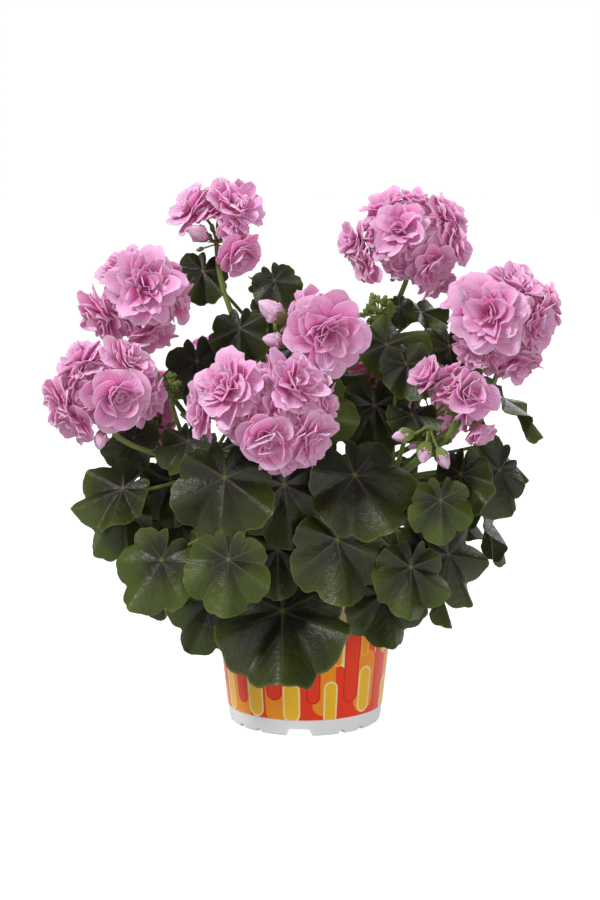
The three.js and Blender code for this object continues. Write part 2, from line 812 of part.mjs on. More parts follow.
function routeOptions(end, arrive) {
  const options = [];
  stems.forEach((stem) => {
    for (const height of ROUTE_HEIGHTS) {
      const spot = new THREE.CatmullRomCurve3(stem.path.slice(1)).getPoint(height);
      for (const lift of ROUTE_LIFTS) {
        for (const back of ROUTE_BACKS) {
          const length = spot.distanceTo(end);
          options.push({ stem, spot, lift: lift * length, back: back * length, length });
        }
      }
    }
  });
  options.sort((one, other) => one.length - other.length);
  return options.slice(0, ROUTE_TRIES).map((option) => {
    const first = along(option.spot, [up, option.lift]);
    const second = along(end, [arrive, -option.back]);
    const path = bezier(option.spot, first, second, end, STALK_STEPS);
    return { stem: option.stem, path, length: option.length };
  });
}

function bestRoute(end, arrive, radius, ownLeaf, ownHead) {
  let best = null;
  for (const option of routeOptions(end, arrive)) {
    const points = finePoints(option.path);
    const [foreign, own] = crossings(points, radius, option.stem, ownLeaf, ownHead);
    const cost = FOREIGN_COST * foreign + OWN_COST * own + option.length;
    if (!best || cost < best.cost) {
      best = { ...option, points, cost, foreign };
    }
    if (foreign === 0 && own === 0) {
      break;
    }
  }
  return best;
}

function addStalk(route, startRadius, endRadius, sides) {
  route.stem.parts.push(stalk(route.path, startRadius, endRadius, sides));
  route.stem.stalks.push({ points: route.points, radius: startRadius });
}

// Directions in which a stalk may reach its head from below, the straightest first
const ARRIVALS = [[0, 0]];
for (const slant of [0.35, 0.7]) {
  ARRIVALS.push([slant, 0], [-slant, 0], [0, slant], [0, -slant]);
}

growLeaves(FRONT_LEAVES, false);
for (const head of heads) {
  let route = null;
  for (const [x, y] of ARRIVALS) {
    const arrive = new THREE.Vector3(x, y, 1).normalize();
    const end = along(head.centre, [arrive, -head.core - CORE_GAP]);
    const found = bestRoute(end, arrive, PEDUNCLE_RADIUS, null, head);
    if (!route || found.cost < route.cost - SLANT_COST) {
      route = found;
    }
    if (!route.foreign) {
      break;
    }
  }
  addStalk(route, PEDUNCLE_RADIUS + STALK_TAPER, PEDUNCLE_RADIUS, PEDUNCLE_SIDES);
}
for (const cluster of BUD_CLUSTERS) {
  const centre = vector(cluster.centre);
  const route = bestRoute(centre, up, PEDUNCLE_RADIUS, null, null);
  addStalk(route, PEDUNCLE_RADIUS, CLUSTER_RADIUS, PEDUNCLE_SIDES);
  for (const values of cluster.buds) {
    const place = centre.clone().add(vector(values));
    route.stem.parts.push(budSolid(centre, place, values[3]));
  }
}
growLeaves([...CROWN_LEAVES, ...backLeafValues(draw)], true);
for (const leaf of leaves) {
  const arrive = along(leaf.normal, [leaf.tip, PETIOLE_SLANT]).normalize();
  const route = bestRoute(leaf.junction, arrive, PETIOLE_RADIUS, leaf, null);
  if (route.foreign && leaf.rear) {
    continue;
  }
  leaf.stem = route.stem;
  route.stem.parts.push(leafSolid(leaf, route.path));
  route.stem.stalks.push({ points: route.points, radius: PETIOLE_RADIUS });
}

function shootSolid(stem) {
  return fuse([stalk(stem.path, STEM_RADIUS, STEM_TIP_RADIUS, STEM_SIDES), ...stem.parts]);
}

function headSolid(head) {
  const core = new THREE.IcosahedronGeometry(head.core, 0);
  core.translate(...head.centre.toArray());
  const parts = [solidFromGeometry(core)];
  for (const floret of head.florets) {
    parts.push(floretSolid(head, floret));
  }
  for (const one of head.buds) {
    parts.push(budSolid(head.centre, one.centre, one.radius));
  }
  return fuse(parts);
}

// Radius of the pot's inner face at a height
function potInside(height) {
  const taper = (POT_NECK_RADIUS - POT_FOOT_RADIUS) / (POT_HEIGHT - POT_RIM_DEPTH);
  return POT_FOOT_RADIUS - POT_WALL + taper * height;
}

function potSolid() {
  const rimFloor = POT_HEIGHT - POT_RIM_DEPTH;
  const profile = [
    [0, FOOT_HEIGHT],
    [POT_FOOT_RADIUS - FOOT_WIDTH, FOOT_HEIGHT],
    [POT_FOOT_RADIUS - FOOT_WIDTH, 0],
    [POT_FOOT_RADIUS - FOOT_BEVEL, 0],
    [POT_FOOT_RADIUS, 1.5 * FOOT_BEVEL],
    [POT_FOOT_RADIUS + 0.6, LABEL_BOTTOM],
    [POT_FOOT_RADIUS + 1.2, LABEL_BOTTOM + 0.6],
    [POT_NECK_RADIUS, rimFloor],
    [POT_RIM_RADIUS - 0.5, rimFloor + 0.5],
    [POT_RIM_RADIUS, POT_HEIGHT - 1],
    [POT_RIM_RADIUS - 1, POT_HEIGHT],
    [POT_NECK_RADIUS - POT_WALL + 1.4, POT_HEIGHT],
    [potInside(rimFloor), rimFloor],
    [potInside(POT_FLOOR), POT_FLOOR + FLOOR_BEVEL],
    [potInside(POT_FLOOR) - FLOOR_BEVEL, POT_FLOOR],
    [0, POT_FLOOR],
  ];
  const outline = profile.map(([radius, height]) => new THREE.Vector2(radius, height));
  const turned = new THREE.LatheGeometry(outline, POT_FACETS);
  turned.rotateX(Math.PI / 2);
  let pot = solidFromGeometry(turned);
  for (const notch of [WIDE_NOTCH, SMALL_NOTCH]) {
    for (const degree of notch.at) {
      const box = new THREE.BoxGeometry(notch.width, 3 * FOOT_WIDTH, 2 * notch.height);
      box.translate(0, -POT_FOOT_RADIUS + FOOT_WIDTH / 2, 0);
      box.rotateZ(THREE.MathUtils.degToRad(degree + FOOT_NOTCH_TURN));
      pot = pot.subtract(solidFromGeometry(box));
    }
  }
  for (let i = 0; i < DRAIN_COUNT; i++) {
    const turn = (2 * Math.PI * (i + 0.5)) / DRAIN_COUNT;
    const hole = new THREE.CylinderGeometry(DRAIN_RADIUS, DRAIN_RADIUS, 30, 8);
    hole.rotateX(Math.PI / 2);
    hole.translate(DRAIN_CIRCLE * Math.cos(turn), DRAIN_CIRCLE * Math.sin(turn), 0);
    pot = pot.subtract(solidFromGeometry(hole));
  }
  return pot;
}

function soilSolid() {
  const lumps = randomDraws(91);
  const points = [new THREE.Vector3(0, 0, SOIL_TOP)];
  const triangles = [];
  const facetShrink = Math.cos(Math.PI / POT_FACETS);
  for (let ring = 1; ring <= SOIL_RINGS + 2; ring++) {
    const share = Math.min(ring, SOIL_RINGS) / SOIL_RINGS;
    const heights = { [SOIL_RINGS + 1]: SOIL_SHOULDER, [SOIL_RINGS + 2]: POT_FLOOR + SOIL_GAP };
    const floor = heights[ring];
    for (let i = 0; i < SOIL_FACETS; i++) {
      const turn = (2 * Math.PI * i) / SOIL_FACETS;
      const z = floor ?? SOIL_TOP + (ring === SOIL_RINGS ? -SOIL_EDGE_DROP : SOIL_LUMPS * (lumps() - 0.5));
      const shy = ring > SOIL_RINGS + 1 ? SOIL_BEVEL : 0;
      const radius = share * ((potInside(z) - SOIL_GAP - shy) * facetShrink - 0.2);
      points.push(new THREE.Vector3(radius * Math.cos(turn), radius * Math.sin(turn), z));
    }
  }
  const foot = points.length;
  points.push(new THREE.Vector3(0, 0, POT_FLOOR + SOIL_GAP));
  const rings = SOIL_RINGS + 2;
  for (let i = 0; i < SOIL_FACETS; i++) {
    const next = (i + 1) % SOIL_FACETS;
    triangles.push([0, 1 + i, 1 + next]);
    for (let ring = 0; ring < rings - 1; ring++) {
      const a = 1 + ring * SOIL_FACETS;
      const b = a + SOIL_FACETS;
      triangles.push([a + i, b + i, b + next], [a + i, b + next, a + next]);
    }
    const low = 1 + (rings - 1) * SOIL_FACETS;
    triangles.push([foot, low + next, low + i]);
  }
  let soil = solidFrom(points, triangles);
  for (const stem of STEMS) {
    const hole = new THREE.CylinderGeometry(HOLE_RADIUS, HOLE_RADIUS, SOIL_TOP, HOLE_SIDES);
    hole.rotateX(Math.PI / 2);
    hole.translate(stem.foot[0], stem.foot[1], STEM_FOOT - SOIL_GAP + SOIL_TOP / 2);
    soil = soil.subtract(solidFromGeometry(hole));
  }
  return soil;
}

const plant = new THREE.Group();

function addNode(name, solid, finish) {
  const pieces = solid.asOriginal().simplify(SLIVER).decompose();
  pieces.sort((one, other) => other.volume() - one.volume());
  const mesh = pieces[0].getMesh();
  const points = new Float32Array((mesh.vertProperties.length / mesh.numProp) * 3);
  for (let i = 0; i < points.length / 3; i++) {
    points.set(mesh.vertProperties.subarray(i * mesh.numProp, i * mesh.numProp + 3), 3 * i);
  }
  const shape = new THREE.BufferGeometry();
  shape.setAttribute('position', new THREE.BufferAttribute(points, 3));
  shape.setIndex(new THREE.BufferAttribute(new Uint32Array(mesh.triVerts), 1));
  shape.computeVertexNormals();
  const node = new THREE.Mesh(shape, new THREE.MeshStandardMaterial(FINISHES[finish]));
  node.name = name;
  plant.add(node);
}

addNode('pot', potSolid(), 'pot');
addNode('soil', soilSolid(), 'soil');
stems.forEach((stem, index) => addNode(`shoot_${index + 1}`, shootSolid(stem), 'shoot'));
heads.forEach((head) => addNode(head.name, headSolid(head), 'bloom'));

export default plant;
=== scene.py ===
# Potted double pelargonium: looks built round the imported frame, in metres
import math
import bpy
import numpy as np
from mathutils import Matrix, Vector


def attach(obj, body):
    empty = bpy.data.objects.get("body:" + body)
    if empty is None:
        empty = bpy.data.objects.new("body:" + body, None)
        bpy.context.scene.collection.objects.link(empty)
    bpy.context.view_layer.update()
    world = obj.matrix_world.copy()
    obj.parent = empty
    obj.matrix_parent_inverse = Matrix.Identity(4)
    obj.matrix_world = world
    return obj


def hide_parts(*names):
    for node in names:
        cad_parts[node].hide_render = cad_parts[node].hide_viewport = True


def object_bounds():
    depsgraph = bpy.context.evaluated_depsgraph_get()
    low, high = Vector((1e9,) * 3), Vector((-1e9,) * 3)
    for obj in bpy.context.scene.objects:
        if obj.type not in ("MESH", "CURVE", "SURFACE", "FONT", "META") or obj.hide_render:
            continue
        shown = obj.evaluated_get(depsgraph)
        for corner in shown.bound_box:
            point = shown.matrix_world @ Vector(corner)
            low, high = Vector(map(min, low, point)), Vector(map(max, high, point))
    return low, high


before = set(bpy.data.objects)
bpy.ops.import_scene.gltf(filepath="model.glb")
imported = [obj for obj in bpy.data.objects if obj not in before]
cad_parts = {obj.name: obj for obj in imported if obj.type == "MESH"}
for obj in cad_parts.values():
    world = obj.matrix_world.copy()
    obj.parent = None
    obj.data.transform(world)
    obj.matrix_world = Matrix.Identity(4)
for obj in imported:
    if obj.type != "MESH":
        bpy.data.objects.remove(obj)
frameLow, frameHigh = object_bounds()
print("frame loaded", len(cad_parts), "nodes")

# growth, the same as the frame's own, in millimetres
plantShape = {
    "soilTop": 92, "stemFoot": 46, "stemCollar": 6, "stemLift": 28, "stemSteps": 5, "footPull": 18,
    "collarPull": 15, "stemRadius": 4.4, "stemTipRadius": 2.8, "petioleRadius": 1.3, "peduncleRadius": 1.9,
    "stalkTaper": 0.3, "bladeGap": 3.2, "stalkGap": 1.9, "coreGap": 0.5, "potRimRadius": 65,
    "potNeckRadius": 62.6, "potHeight": 104, "seed": 417,
}
# how a leaf may tilt and shift to find room, and the ways that a stalk may take from its stem
searchShape = {
    "tilts": (0, 8, -8, 16, -16), "shifts": (0, -3, 3, -6, 6, -9, 9, -12, 12, -16, 16, -20, 20, -25, 25),
    "heights": (0.95, 0.75, 0.55, 0.35), "lifts": (0.15, 0.4, 0.02), "backs": (0.3, 0.18, 0.45),
    "tried": 90, "foreignCost": 1000, "ownCost": 60, "leans": (0.35, 0.7), "saving": 30,
}
bladeShape = {
    "junctionOffset": 0.3, "lobeAngle": math.radians(58), "lobeDepth": 0.12,
    "scallopDepth": 0.03, "slitAngle": math.radians(16), "branchSlant": 1.25, "branchGap": 0.21,
}
stemList = [
    ((-26, -20), (-66, -50, 168)),
    ((-2, -33), (-14, -66, 178)),
    ((27, -20), (60, -48, 176)),
    ((-33, 12), (-66, 26, 182)),
    ((-8, 34), (-22, 70, 172)),
    ((24, 24), (56, 52, 174)),
    ((0, 0), (2, 4, 222)),
]
# junction x, y, z, blade radius, facing, rise and roll
frontLeaves = [
    (-52, -128, 193, 35, 0, 15, -5), (-15, -99, 98, 46, 0, 50, 0), (34, -104, 193, 37, 15, 35, 20),
    (-120, -80, 176, 28, -25, 42, -50), (-93, -108, 134, 30, -20, 12, -25), (-50, -122, 137, 29, 5, 12, -5),
    (21, -116, 149, 34, 10, 15, 5), (51, -84, 107, 29, 15, 12, 5), (95, -72, 130, 29, 40, 12, 15),
    (130, -48, 183, 29, 42, 15, -60), (-12, -112, 185, 33, 8, 15, 5), (83, -92, 172, 23, 15, 5, 0),
    (-66, -84, 101, 29, -25, 15, -20), (54, -45, 267, 30, 20, 50, 50), (-44, -25, 276, 22, 0, 30, 0),
    (137, 0, 225, 30, 90, 45, 0), (-19, 5, 318, 24, 40, 65, 60), (-71, 28, 310, 21, 0, 30, -20),
    (-121, -62, 158, 29, -30, 15, -30), (63, -96, 124, 27, 20, 20, -10), (106, -70, 182, 28, -40, 25, 0),
    (-18, -88, 137, 26, 0, 10, 0), (-91, -66, 181, 26, -10, 20, 10), (-96, -74, 160, 29, -15, 15, 0),
    (46, -50, 227, 28, 5, 20, 0), (-2, -72, 225, 30, 10, 10, 80), (-76, -45, 262, 26, -10, 25, 10),
    (64, -62, 252, 22, 15, 35, 20), (98, -10, 262, 26, 10, 20, 0), (81, 15, 288, 18, 20, 60, 30),
    (64, 10, 286, 12, 0, 10, 0), (-113, -50, 204, 22, -30, 30, 0), (-77, -90, 213, 22, -10, 50, 0),
    (80, -62, 135, 26, 20, 10, 0), (70, -74, 224, 20, 10, 60, 0), (-21, 10, 300, 18, 0, 20, 20),
    (-29, 0, 290, 18, -20, 20, 0),
]
crownLeaves = [
    (-8, 10, 252, 30, 0, 74, 60), (-50, -18, 230, 29, -50, 62, -30), (38, 26, 246, 30, 120, 68, 0),
    (-76, 8, 222, 29, -100, 55, 10), (88, 12, 218, 28, 80, 52, -20), (-34, 44, 240, 30, 190, 64, 20),
    (20, -20, 236, 27, 20, 66, 40), (12, 66, 232, 30, 170, 60, -30), (-84, -30, 200, 27, -70, 50, 0),
]
# count, height, reach, blade radius, rise, first degree and sweep
backRings = [
    (8, 106, 93, 30, 22, -112, 224), (8, 146, 118, 32, 18, -106, 212), (8, 184, 114, 30, 28, -100, 200),
    (5, 214, 88, 28, 48, -88, 176), (4, 160, 74, 28, 35, -90, 180),
]
# centre, core radius, florets and pink buds, each with its offset from the centre and its radius
headList = {
    "bloom_top_left": ((-61, 20, 342), 12, [
        (-18, 0, 13, 22), (15, -8, 15, 25), (17, -20, -19, 19), (3, 16, 15, 21)], [(-12, -14, -4, 8)]),
    "bloom_upper_left": ((-112, -32, 298), 15, [
        (7, -24, 10, 27), (-25, -8, -14, 22), (27, -2, -2, 19),
        (10, -10, -25, 18), (-10, -2, 22, 20), (14, 12, 21, 18)], []),
    "bloom_left": ((-131, -80, 241), 15, [
        (-16, -2, 20, 21), (17, -8, 21, 21), (11, -24, -2, 23),
        (-31, -5, -7, 20), (-19, -10, -20, 18), (30, -4, -4, 19)], [(-2, -12, -31, 6)]),
    "bloom_front": ((-30, -108, 231), 18, [
        (-21, -20, 19, 26), (-37, -6, 2, 21), (25, -18, 21, 25), (42, -4, 5, 19),
        (6, -30, -14, 21), (34, -18, -16, 22), (2, 8, 22, 21), (20, -12, -28, 19)], []),
    "bloom_centre": ((11, -75, 281), 12, [
        (3, -18, -3, 29), (-15, 6, 10, 19), (16, 8, 7, 18)], [(-33, -2, 12, 9), (-31, -6, -7, 7)]),
    "bloom_top_right": ((71, 20, 329), 16, [
        (-39, -4, 4, 17), (-32, -8, -13, 16), (-7, -24, 13, 22), (-16, -2, 27, 20), (5, 5, 29, 19),
        (27, 0, 22, 20), (33, -4, 3, 19), (16, -18, -13, 21), (20, -8, -26, 17)], []),
    "bloom_right": ((132, -35, 282), 17, [
        (-12, -28, 7, 29), (21, -12, -2, 24), (8, -4, 25, 23), (11, -10, -29, 20),
        (-27, -8, 16, 20), (-17, -14, -19, 21), (32, 6, 11, 18)], []),
    "bloom_lower_right": ((97, -90, 236), 10, [
        (-17, -4, 15, 16), (8, -12, 6, 20), (16, -2, -19, 15), (-2, 8, 16, 15)], []),
    "bloom_back_left": ((-56, 98, 226), 16, [
        (-8, 24, 10, 26), (22, 12, 12, 23), (-26, 6, 0, 22), (4, 14, -24, 21), (-4, -6, 26, 22)], []),
    "bloom_back_right": ((46, 109, 216), 16, [
        (6, 26, 6, 26), (-24, 12, 8, 22), (26, 8, 4, 22), (0, 14, -24, 20), (2, -4, 26, 23)], []),
    "bloom_side_right": ((92, 56, 214), 15, [
        (24, 12, 8, 24), (14, 24, -12, 20), (4, 0, 26, 22), (22, -16, -4, 19)], []),
    "bloom_side_left": ((-106, 48, 204), 15, [
        (-22, 14, 8, 24), (-20, -14, -2, 20), (-4, 24, -10, 20), (-2, 2, 26, 22)], []),
}
budClusters = [
    ((-90, -44, 236), [(-6, -4, 6, 4), (5, -5, 5, 4), (0, 3, 9, 4), (-2, -7, -2, 4)]),
    ((50, -12, 284), [(-8, -4, 3, 5), (4, -4, 8, 5), (-3, 2, 9, 4), (8, 1, 1, 4), (-4, -6, -4, 4)]),
    ((80, -92, 216), [(-17, -6, -2, 6), (-3, -8, -13, 6), (9, -6, -17, 6), (-8, 3, -8, 5)]),
]
up = np.array((0.0, 0.0, 1.0))
circle = 2 * math.pi


def unit(direction):
    return direction / np.linalg.norm(direction)


def stacked(items, *names):
    return {name: np.array([item[name] for item in items]) for name in names}


def drawsFrom(seed):
    state = [seed]

    def nextDraw():
        state[0] = state[0] * 16807 % 2147483647
        return state[0] / 2147483647

    return nextDraw


def bladeReach(angle):
    across = bladeShape["junctionOffset"] * np.sin(angle)
    roundReach = bladeShape["junctionOffset"] * np.cos(angle) + np.sqrt(1 - across**2)
    lobe = 2 * np.abs((angle / bladeShape["lobeAngle"] + 0.5) % 1 - 0.5)
    scallop = 2 * np.abs((3 * angle / bladeShape["lobeAngle"] + 0.5) % 1 - 0.5)
    slit = np.clip((math.pi - np.abs(angle)) / bladeShape["slitAngle"], 0, 1)
    edge = (1 - bladeShape["lobeDepth"] * lobe**3) * (1 - bladeShape["scallopDepth"] * scallop**2)
    return roundReach * edge * (0.25 + 0.75 * slit**0.6)


def bladeHeight(radius, phase, angle, reach):
    bowl = 0.1 * reach - 0.14 * reach**2
    fold = 0.045 * reach**1.5 * np.cos(circle * angle / bladeShape["lobeAngle"])
    wave = 0.06 * np.sin(2 * angle + phase) + 0.04 * np.sin(3 * angle + 2 * phase)
    return radius * (bowl + fold + wave * reach**2)


def makeLeaf(values, phase):
    x, y, z, radius, facing, rise, roll = values
    turn, lift, spin = (math.radians(v) for v in (facing, rise, roll))
    normal = np.array((math.sin(turn) * math.cos(lift), -math.cos(turn) * math.cos(lift), math.sin(lift)))
    fall = unit(-up + normal * normal[2])
    tip = fall * math.cos(spin) + np.cross(normal, fall) * math.sin(spin)
    return {"junction": np.array((x, y, z), float), "radius": radius, "phase": phase,
            "normal": normal, "tip": tip, "side": np.cross(normal, tip), "stem": None}


rimAngles = np.radians(np.arange(-176, 180, 8))
sampleAngles = np.repeat(rimAngles, 3)
sampleReach = bladeReach(sampleAngles) * np.tile((1, 0.7, 0.4), len(rimAngles))


def bladeSamples(leaf):
    out = leaf["radius"] * sampleReach
    height = bladeHeight(leaf["radius"], leaf["phase"], sampleAngles, sampleReach)
    return (leaf["junction"] + np.outer(out * np.cos(sampleAngles), leaf["tip"])
            + np.outer(out * np.sin(sampleAngles), leaf["side"]) + np.outer(height, leaf["normal"]))


def heightOverBlades(leaves, points, margin):
    # one row for each leaf, one column for each point, nan where the point isn't over the blade
    stack = stacked(leaves, "junction", "radius", "phase", "normal", "tip", "side")
    offset = points - stack["junction"][:, None, :]
    tipward, sideward, rise = (np.einsum("lpc,lc->lp", offset, stack[k]) for k in ("tip", "side", "normal"))
    out = np.hypot(tipward, sideward)
    angle = np.arctan2(sideward, tipward)
    radius = stack["radius"][:, None]
    over = out <= radius * bladeReach(angle) + margin
    height = rise - bladeHeight(radius, stack["phase"][:, None], angle, np.minimum(out / radius, 1.3))
    return np.where(over, height, np.nan)


def makeFloret(head, centre, values, order):
    offset = np.array(values[:3], float)
    axis = unit(offset)
    axis[1] -= 0.22 * (1 if centre[1] < 45 else -1)
    axis = unit(axis)
    radius = values[3]
    level = unit(np.cross((axis[2], 0.3, -axis[0]), axis))
    spin = 0.9 * order
    side = level * math.cos(spin) + np.cross(axis, level) * math.sin(spin)
    face = centre + offset
    return {"head": head, "face": face, "root": face - 0.36 * radius * axis, "axis": axis,
            "side": side, "cross": np.cross(axis, side), "radius": radius}


heads = []
florets = []
for headName, (place, core, floretValues, budValues) in headList.items():
    centre = np.array(place, float)
    own = [makeFloret(len(heads), centre, values, order) for order, values in enumerate(floretValues)]
    buds = [(centre + values[:3], values[3]) for values in budValues]
    heads.append({"name": headName, "centre": centre, "core": core, "florets": own, "buds": buds})
    florets += own

floretStack = stacked(florets, "head", "root", "axis", "radius")
neckStart = np.array([heads[floret["head"]]["centre"] for floret in florets])
cores = [(head["centre"], head["core"], i) for i, head in enumerate(heads)]
cores += [(place, 1.6 * size, i) for i, head in enumerate(heads) for place, size in head["buds"]]
ballCentre, ballRadius, ballHead = (np.array(values) for values in zip(*cores))


def floretsHold(points, margin):
    offset = points[None] - floretStack["root"][:, None]
    rise = np.einsum("fpc,fc->fp", offset, floretStack["axis"])
    out = np.sqrt(np.maximum(0, (offset**2).sum(2) - rise**2))
    radius = floretStack["radius"][:, None]
    inDepth = (rise >= -2 - margin) & (rise <= 0.75 * radius + margin)
    wide = 0.2 * radius + np.maximum(rise + margin, 0) * 2.4
    return inDepth & (out < np.minimum(radius, wide) + margin)


def headsHold(points, margin):
    # the numbers of the heads that hold one of the points
    held = floretsHold(points, margin).any(1)
    neck = floretStack["root"] - neckStart
    share = np.einsum("fpc,fc->fp", points[None] - neckStart[:, None], neck) / (neck**2).sum(1)[:, None]
    nearest = neckStart[:, None] + np.clip(share, 0, 1)[:, :, None] * neck[:, None]
    held |= (np.linalg.norm(nearest - points[None], axis=2) < 3 + margin).any(1)
    balls = np.linalg.norm(points[None] - ballCentre[:, None], axis=2) < ballRadius[:, None] + margin
    return set(floretStack["head"][held]) | set(ballHead[balls.any(1)])


def potHolds(points, margin):
    out = np.hypot(points[:, 0], points[:, 1])
    outside = (out < plantShape["potRimRadius"] + margin) & (points[:, 2] < plantShape["potHeight"] + margin)
    inside = (out < plantShape["potNeckRadius"] - 4 - margin) & (points[:, 2] > plantShape["soilTop"] + 3)
    return outside & ~inside


def bladesMeet(leaf, samples, placed):
    if not placed:
        return False
    reach = 1.35 * (leaf["radius"] + np.array([other["radius"] for other in placed]))
    far = np.linalg.norm(np.array([other["junction"] for other in placed]) - leaf["junction"], axis=1)
    near = [other for other, skip in zip(placed, far > reach) if not skip]
    if not near:
        return False
    own = heightOverBlades(near, samples[None], 1.5)
    theirs = heightOverBlades([leaf], np.concatenate([o["samples"] for o in near])[None], 1.5)
    for height in (own, theirs.reshape(len(near), -1)):
        rim = height[:, ::3]
        with np.errstate(invalid="ignore"):
            if (np.abs(height) < plantShape["bladeGap"]).any() or (rim[:, 1:] * rim[:, :-1] < 0).any():
                return True
    return False


def bladesNear(leaves, points, radius):
    # which leaves have one of the points within reach of their blade
    with np.errstate(invalid="ignore"):
        height = np.abs(heightOverBlades(leaves, points[None], radius + 0.5))
        close = height < radius + plantShape["stalkGap"]
    return close.any(1)


def placeLeaf(values, phase, placed, stalks):
    points = np.concatenate([s["points"] for s in stalks]) if stalks else None
    girth = np.concatenate([np.full(len(s["points"]), s["radius"]) for s in stalks]) if stalks else None
    for tilt in searchShape["tilts"]:
        for shift in searchShape["shifts"]:
            leaf = makeLeaf((*values[:5], values[5] + tilt, values[6]), phase)
            leaf["junction"] = leaf["junction"] + leaf["normal"] * shift
            samples = bladeSamples(leaf)
            if potHolds(samples, 2.5).any() or headsHold(samples, 1.6):
                continue
            if stalks and bladesNear([leaf], points, girth).any():
                continue
            if not bladesMeet(leaf, samples, placed):
                leaf["samples"] = samples
                return leaf
    return None


def bezier(first, second, third, last, steps):
    t = (np.arange(steps + 1) / steps)[:, None]
    return (1 - t)**3 * first + 3 * (1 - t)**2 * t * second + 3 * (1 - t) * t**2 * third + t**3 * last


def finePoints(path):
    points = []
    for start, end in zip(path[:-1], path[1:]):
        count = math.ceil(np.linalg.norm(end - start) / 3)
        points += [start + (end - start) * k / count for k in range(count)]
    return np.array(points + [path[-1]])


def spotOnStem(path, share):
    # point on a centripetal spline through the path's points
    place = (len(path) - 1) * share
    part = int(place)
    weight = place - part
    ends = np.vstack([2 * path[0] - path[1], path, 2 * path[-1] - path[-2]])
    a, b, c, d = ends[part:part + 4]
    before, here, after = (float(((q - p)**2).sum())**0.25 for p, q in ((a, b), (b, c), (c, d)))
    slopeIn = ((b - a) / before - (c - a) / (before + here) + (c - b) / here) * here
    slopeOut = ((c - b) / here - (d - b) / (here + after) + (d - c) / after) * here
    bend = -3 * b + 3 * c - 2 * slopeIn - slopeOut
    twist = 2 * b - 2 * c + slopeIn + slopeOut
    return b + slopeIn * weight + bend * weight**2 + twist * weight**3


stems = []
for (x, y), tip in stemList:
    top = np.array(tip, float)
    levels = [plantShape["soilTop"] + plantShape[name] for name in ("stemCollar", "stemLift")]
    foot, collar, lift = (np.array((x, y, z), float) for z in (plantShape["stemFoot"], *levels))
    rising = (collar, lift, top - up * plantShape["stemLift"], top)
    path = np.vstack([foot, bezier(*rising, plantShape["stemSteps"])])
    lower = [foot, foot + up * plantShape["footPull"], collar - up * plantShape["collarPull"]]
    stems.append({"path": path, "curve": [*lower, *rising],
                  "stalks": [{"points": finePoints(path), "radius": plantShape["stemRadius"]}]})
leaves = []
draw = drawsFrom(plantShape["seed"])


def growLeaves(values, rear):
    for one in values:
        stalks = [s for stem in stems for s in stem["stalks"]] if rear else []
        leaf = placeLeaf(one, circle * draw(), leaves, stalks)
        if leaf:
            leaf["rear"] = rear
            leaves.append(leaf)


def crossings(points, radius, stem, ownLeaf, ownHead):
    gap = radius + plantShape["stalkGap"]
    others = [leaf for leaf in leaves if leaf is not ownLeaf]
    touched = [leaf for leaf, near in zip(others, bladesNear(others, points, radius)) if near]
    own = sum(leaf["stem"] is stem for leaf in touched)
    foreign = len(touched) - own + len(headsHold(points, gap) - {ownHead})
    if ownHead is not None:
        foreign += int(floretsHold(points, radius).any(1)[floretStack["head"] == ownHead].sum())
    foreign += int(potHolds(points[6:], gap).any())
    for other in stems:
        if other is not stem:
            foreign += any(
                (((s["points"][:, None] - points[None])**2).sum(2) < (s["radius"] + radius + 0.8)**2).any()
                for s in other["stalks"])
    return foreign, own


def bestRoute(end, arrive, radius, ownLeaf, ownHead):
    ways = [(lift, back) for lift in searchShape["lifts"] for back in searchShape["backs"]]
    options = []
    for stem in stems:
        for height in searchShape["heights"]:
            spot = spotOnStem(stem["path"][1:], height)
            length = np.linalg.norm(spot - end)
            options += [(length, stem, spot, lift, back) for lift, back in ways]
    options.sort(key=lambda option: option[0])
    best = None
    for length, stem, spot, lift, back in options[:searchShape["tried"]]:
        curve = (spot, spot + up * lift * length, end - arrive * back * length, end)
        points = finePoints(bezier(*curve, 3))
        foreign, own = crossings(points, radius, stem, ownLeaf, ownHead)
        cost = searchShape["foreignCost"] * foreign + searchShape["ownCost"] * own + length
        if best is None or cost < best["cost"]:
            best = {"stem": stem, "curve": curve, "points": points, "cost": cost, "foreign": foreign}
        if foreign == 0 and own == 0:
            break
    return best


def laid(route, radius):
    # from now on the stalk is in the way of later ones
    route["stem"]["stalks"].append({"points": route["points"], "radius": radius})
    return route


growLeaves(frontLeaves, False)
arrivals = [(0, 0)] + [pair for s in searchShape["leans"] for pair in ((s, 0), (-s, 0), (0, s), (0, -s))]
headStalks = []
for number, head in enumerate(heads):
    route = None
    for x, y in arrivals:
        arrive = unit(np.array((x, y, 1.0)))
        end = head["centre"] - arrive * (head["core"] + plantShape["coreGap"])
        found = bestRoute(end, arrive, plantShape["peduncleRadius"], None, number)
        if route is None or found["cost"] < route["cost"] - searchShape["saving"]:
            route = found
        if not route["foreign"]:
            break
    headStalks.append(laid(route, plantShape["peduncleRadius"] + plantShape["stalkTaper"]))
clusterStalks = []
for place, _ in budClusters:
    route = bestRoute(np.array(place, float), up, plantShape["peduncleRadius"], None, None)
    clusterStalks.append(laid(route, plantShape["peduncleRadius"]))
backValues = []
for count, height, reach, radius, rise, first, sweep in backRings:
    for i in range(count):
        degree = first + sweep * (i + 0.5 + 0.3 * (draw() - 0.5)) / count
        turn = math.radians(degree)
        out = reach * (0.94 + 0.12 * draw())
        z = height + 14 * (draw() - 0.5)
        size = radius * (0.9 + 0.2 * draw())
        lift = rise + 16 * (draw() - 0.5)
        roll = 50 * (draw() - 0.5)
        backValues.append((out * math.sin(turn), out * math.cos(turn), z, size, 180 - degree, lift, roll))
growLeaves(crownLeaves + backValues, True)
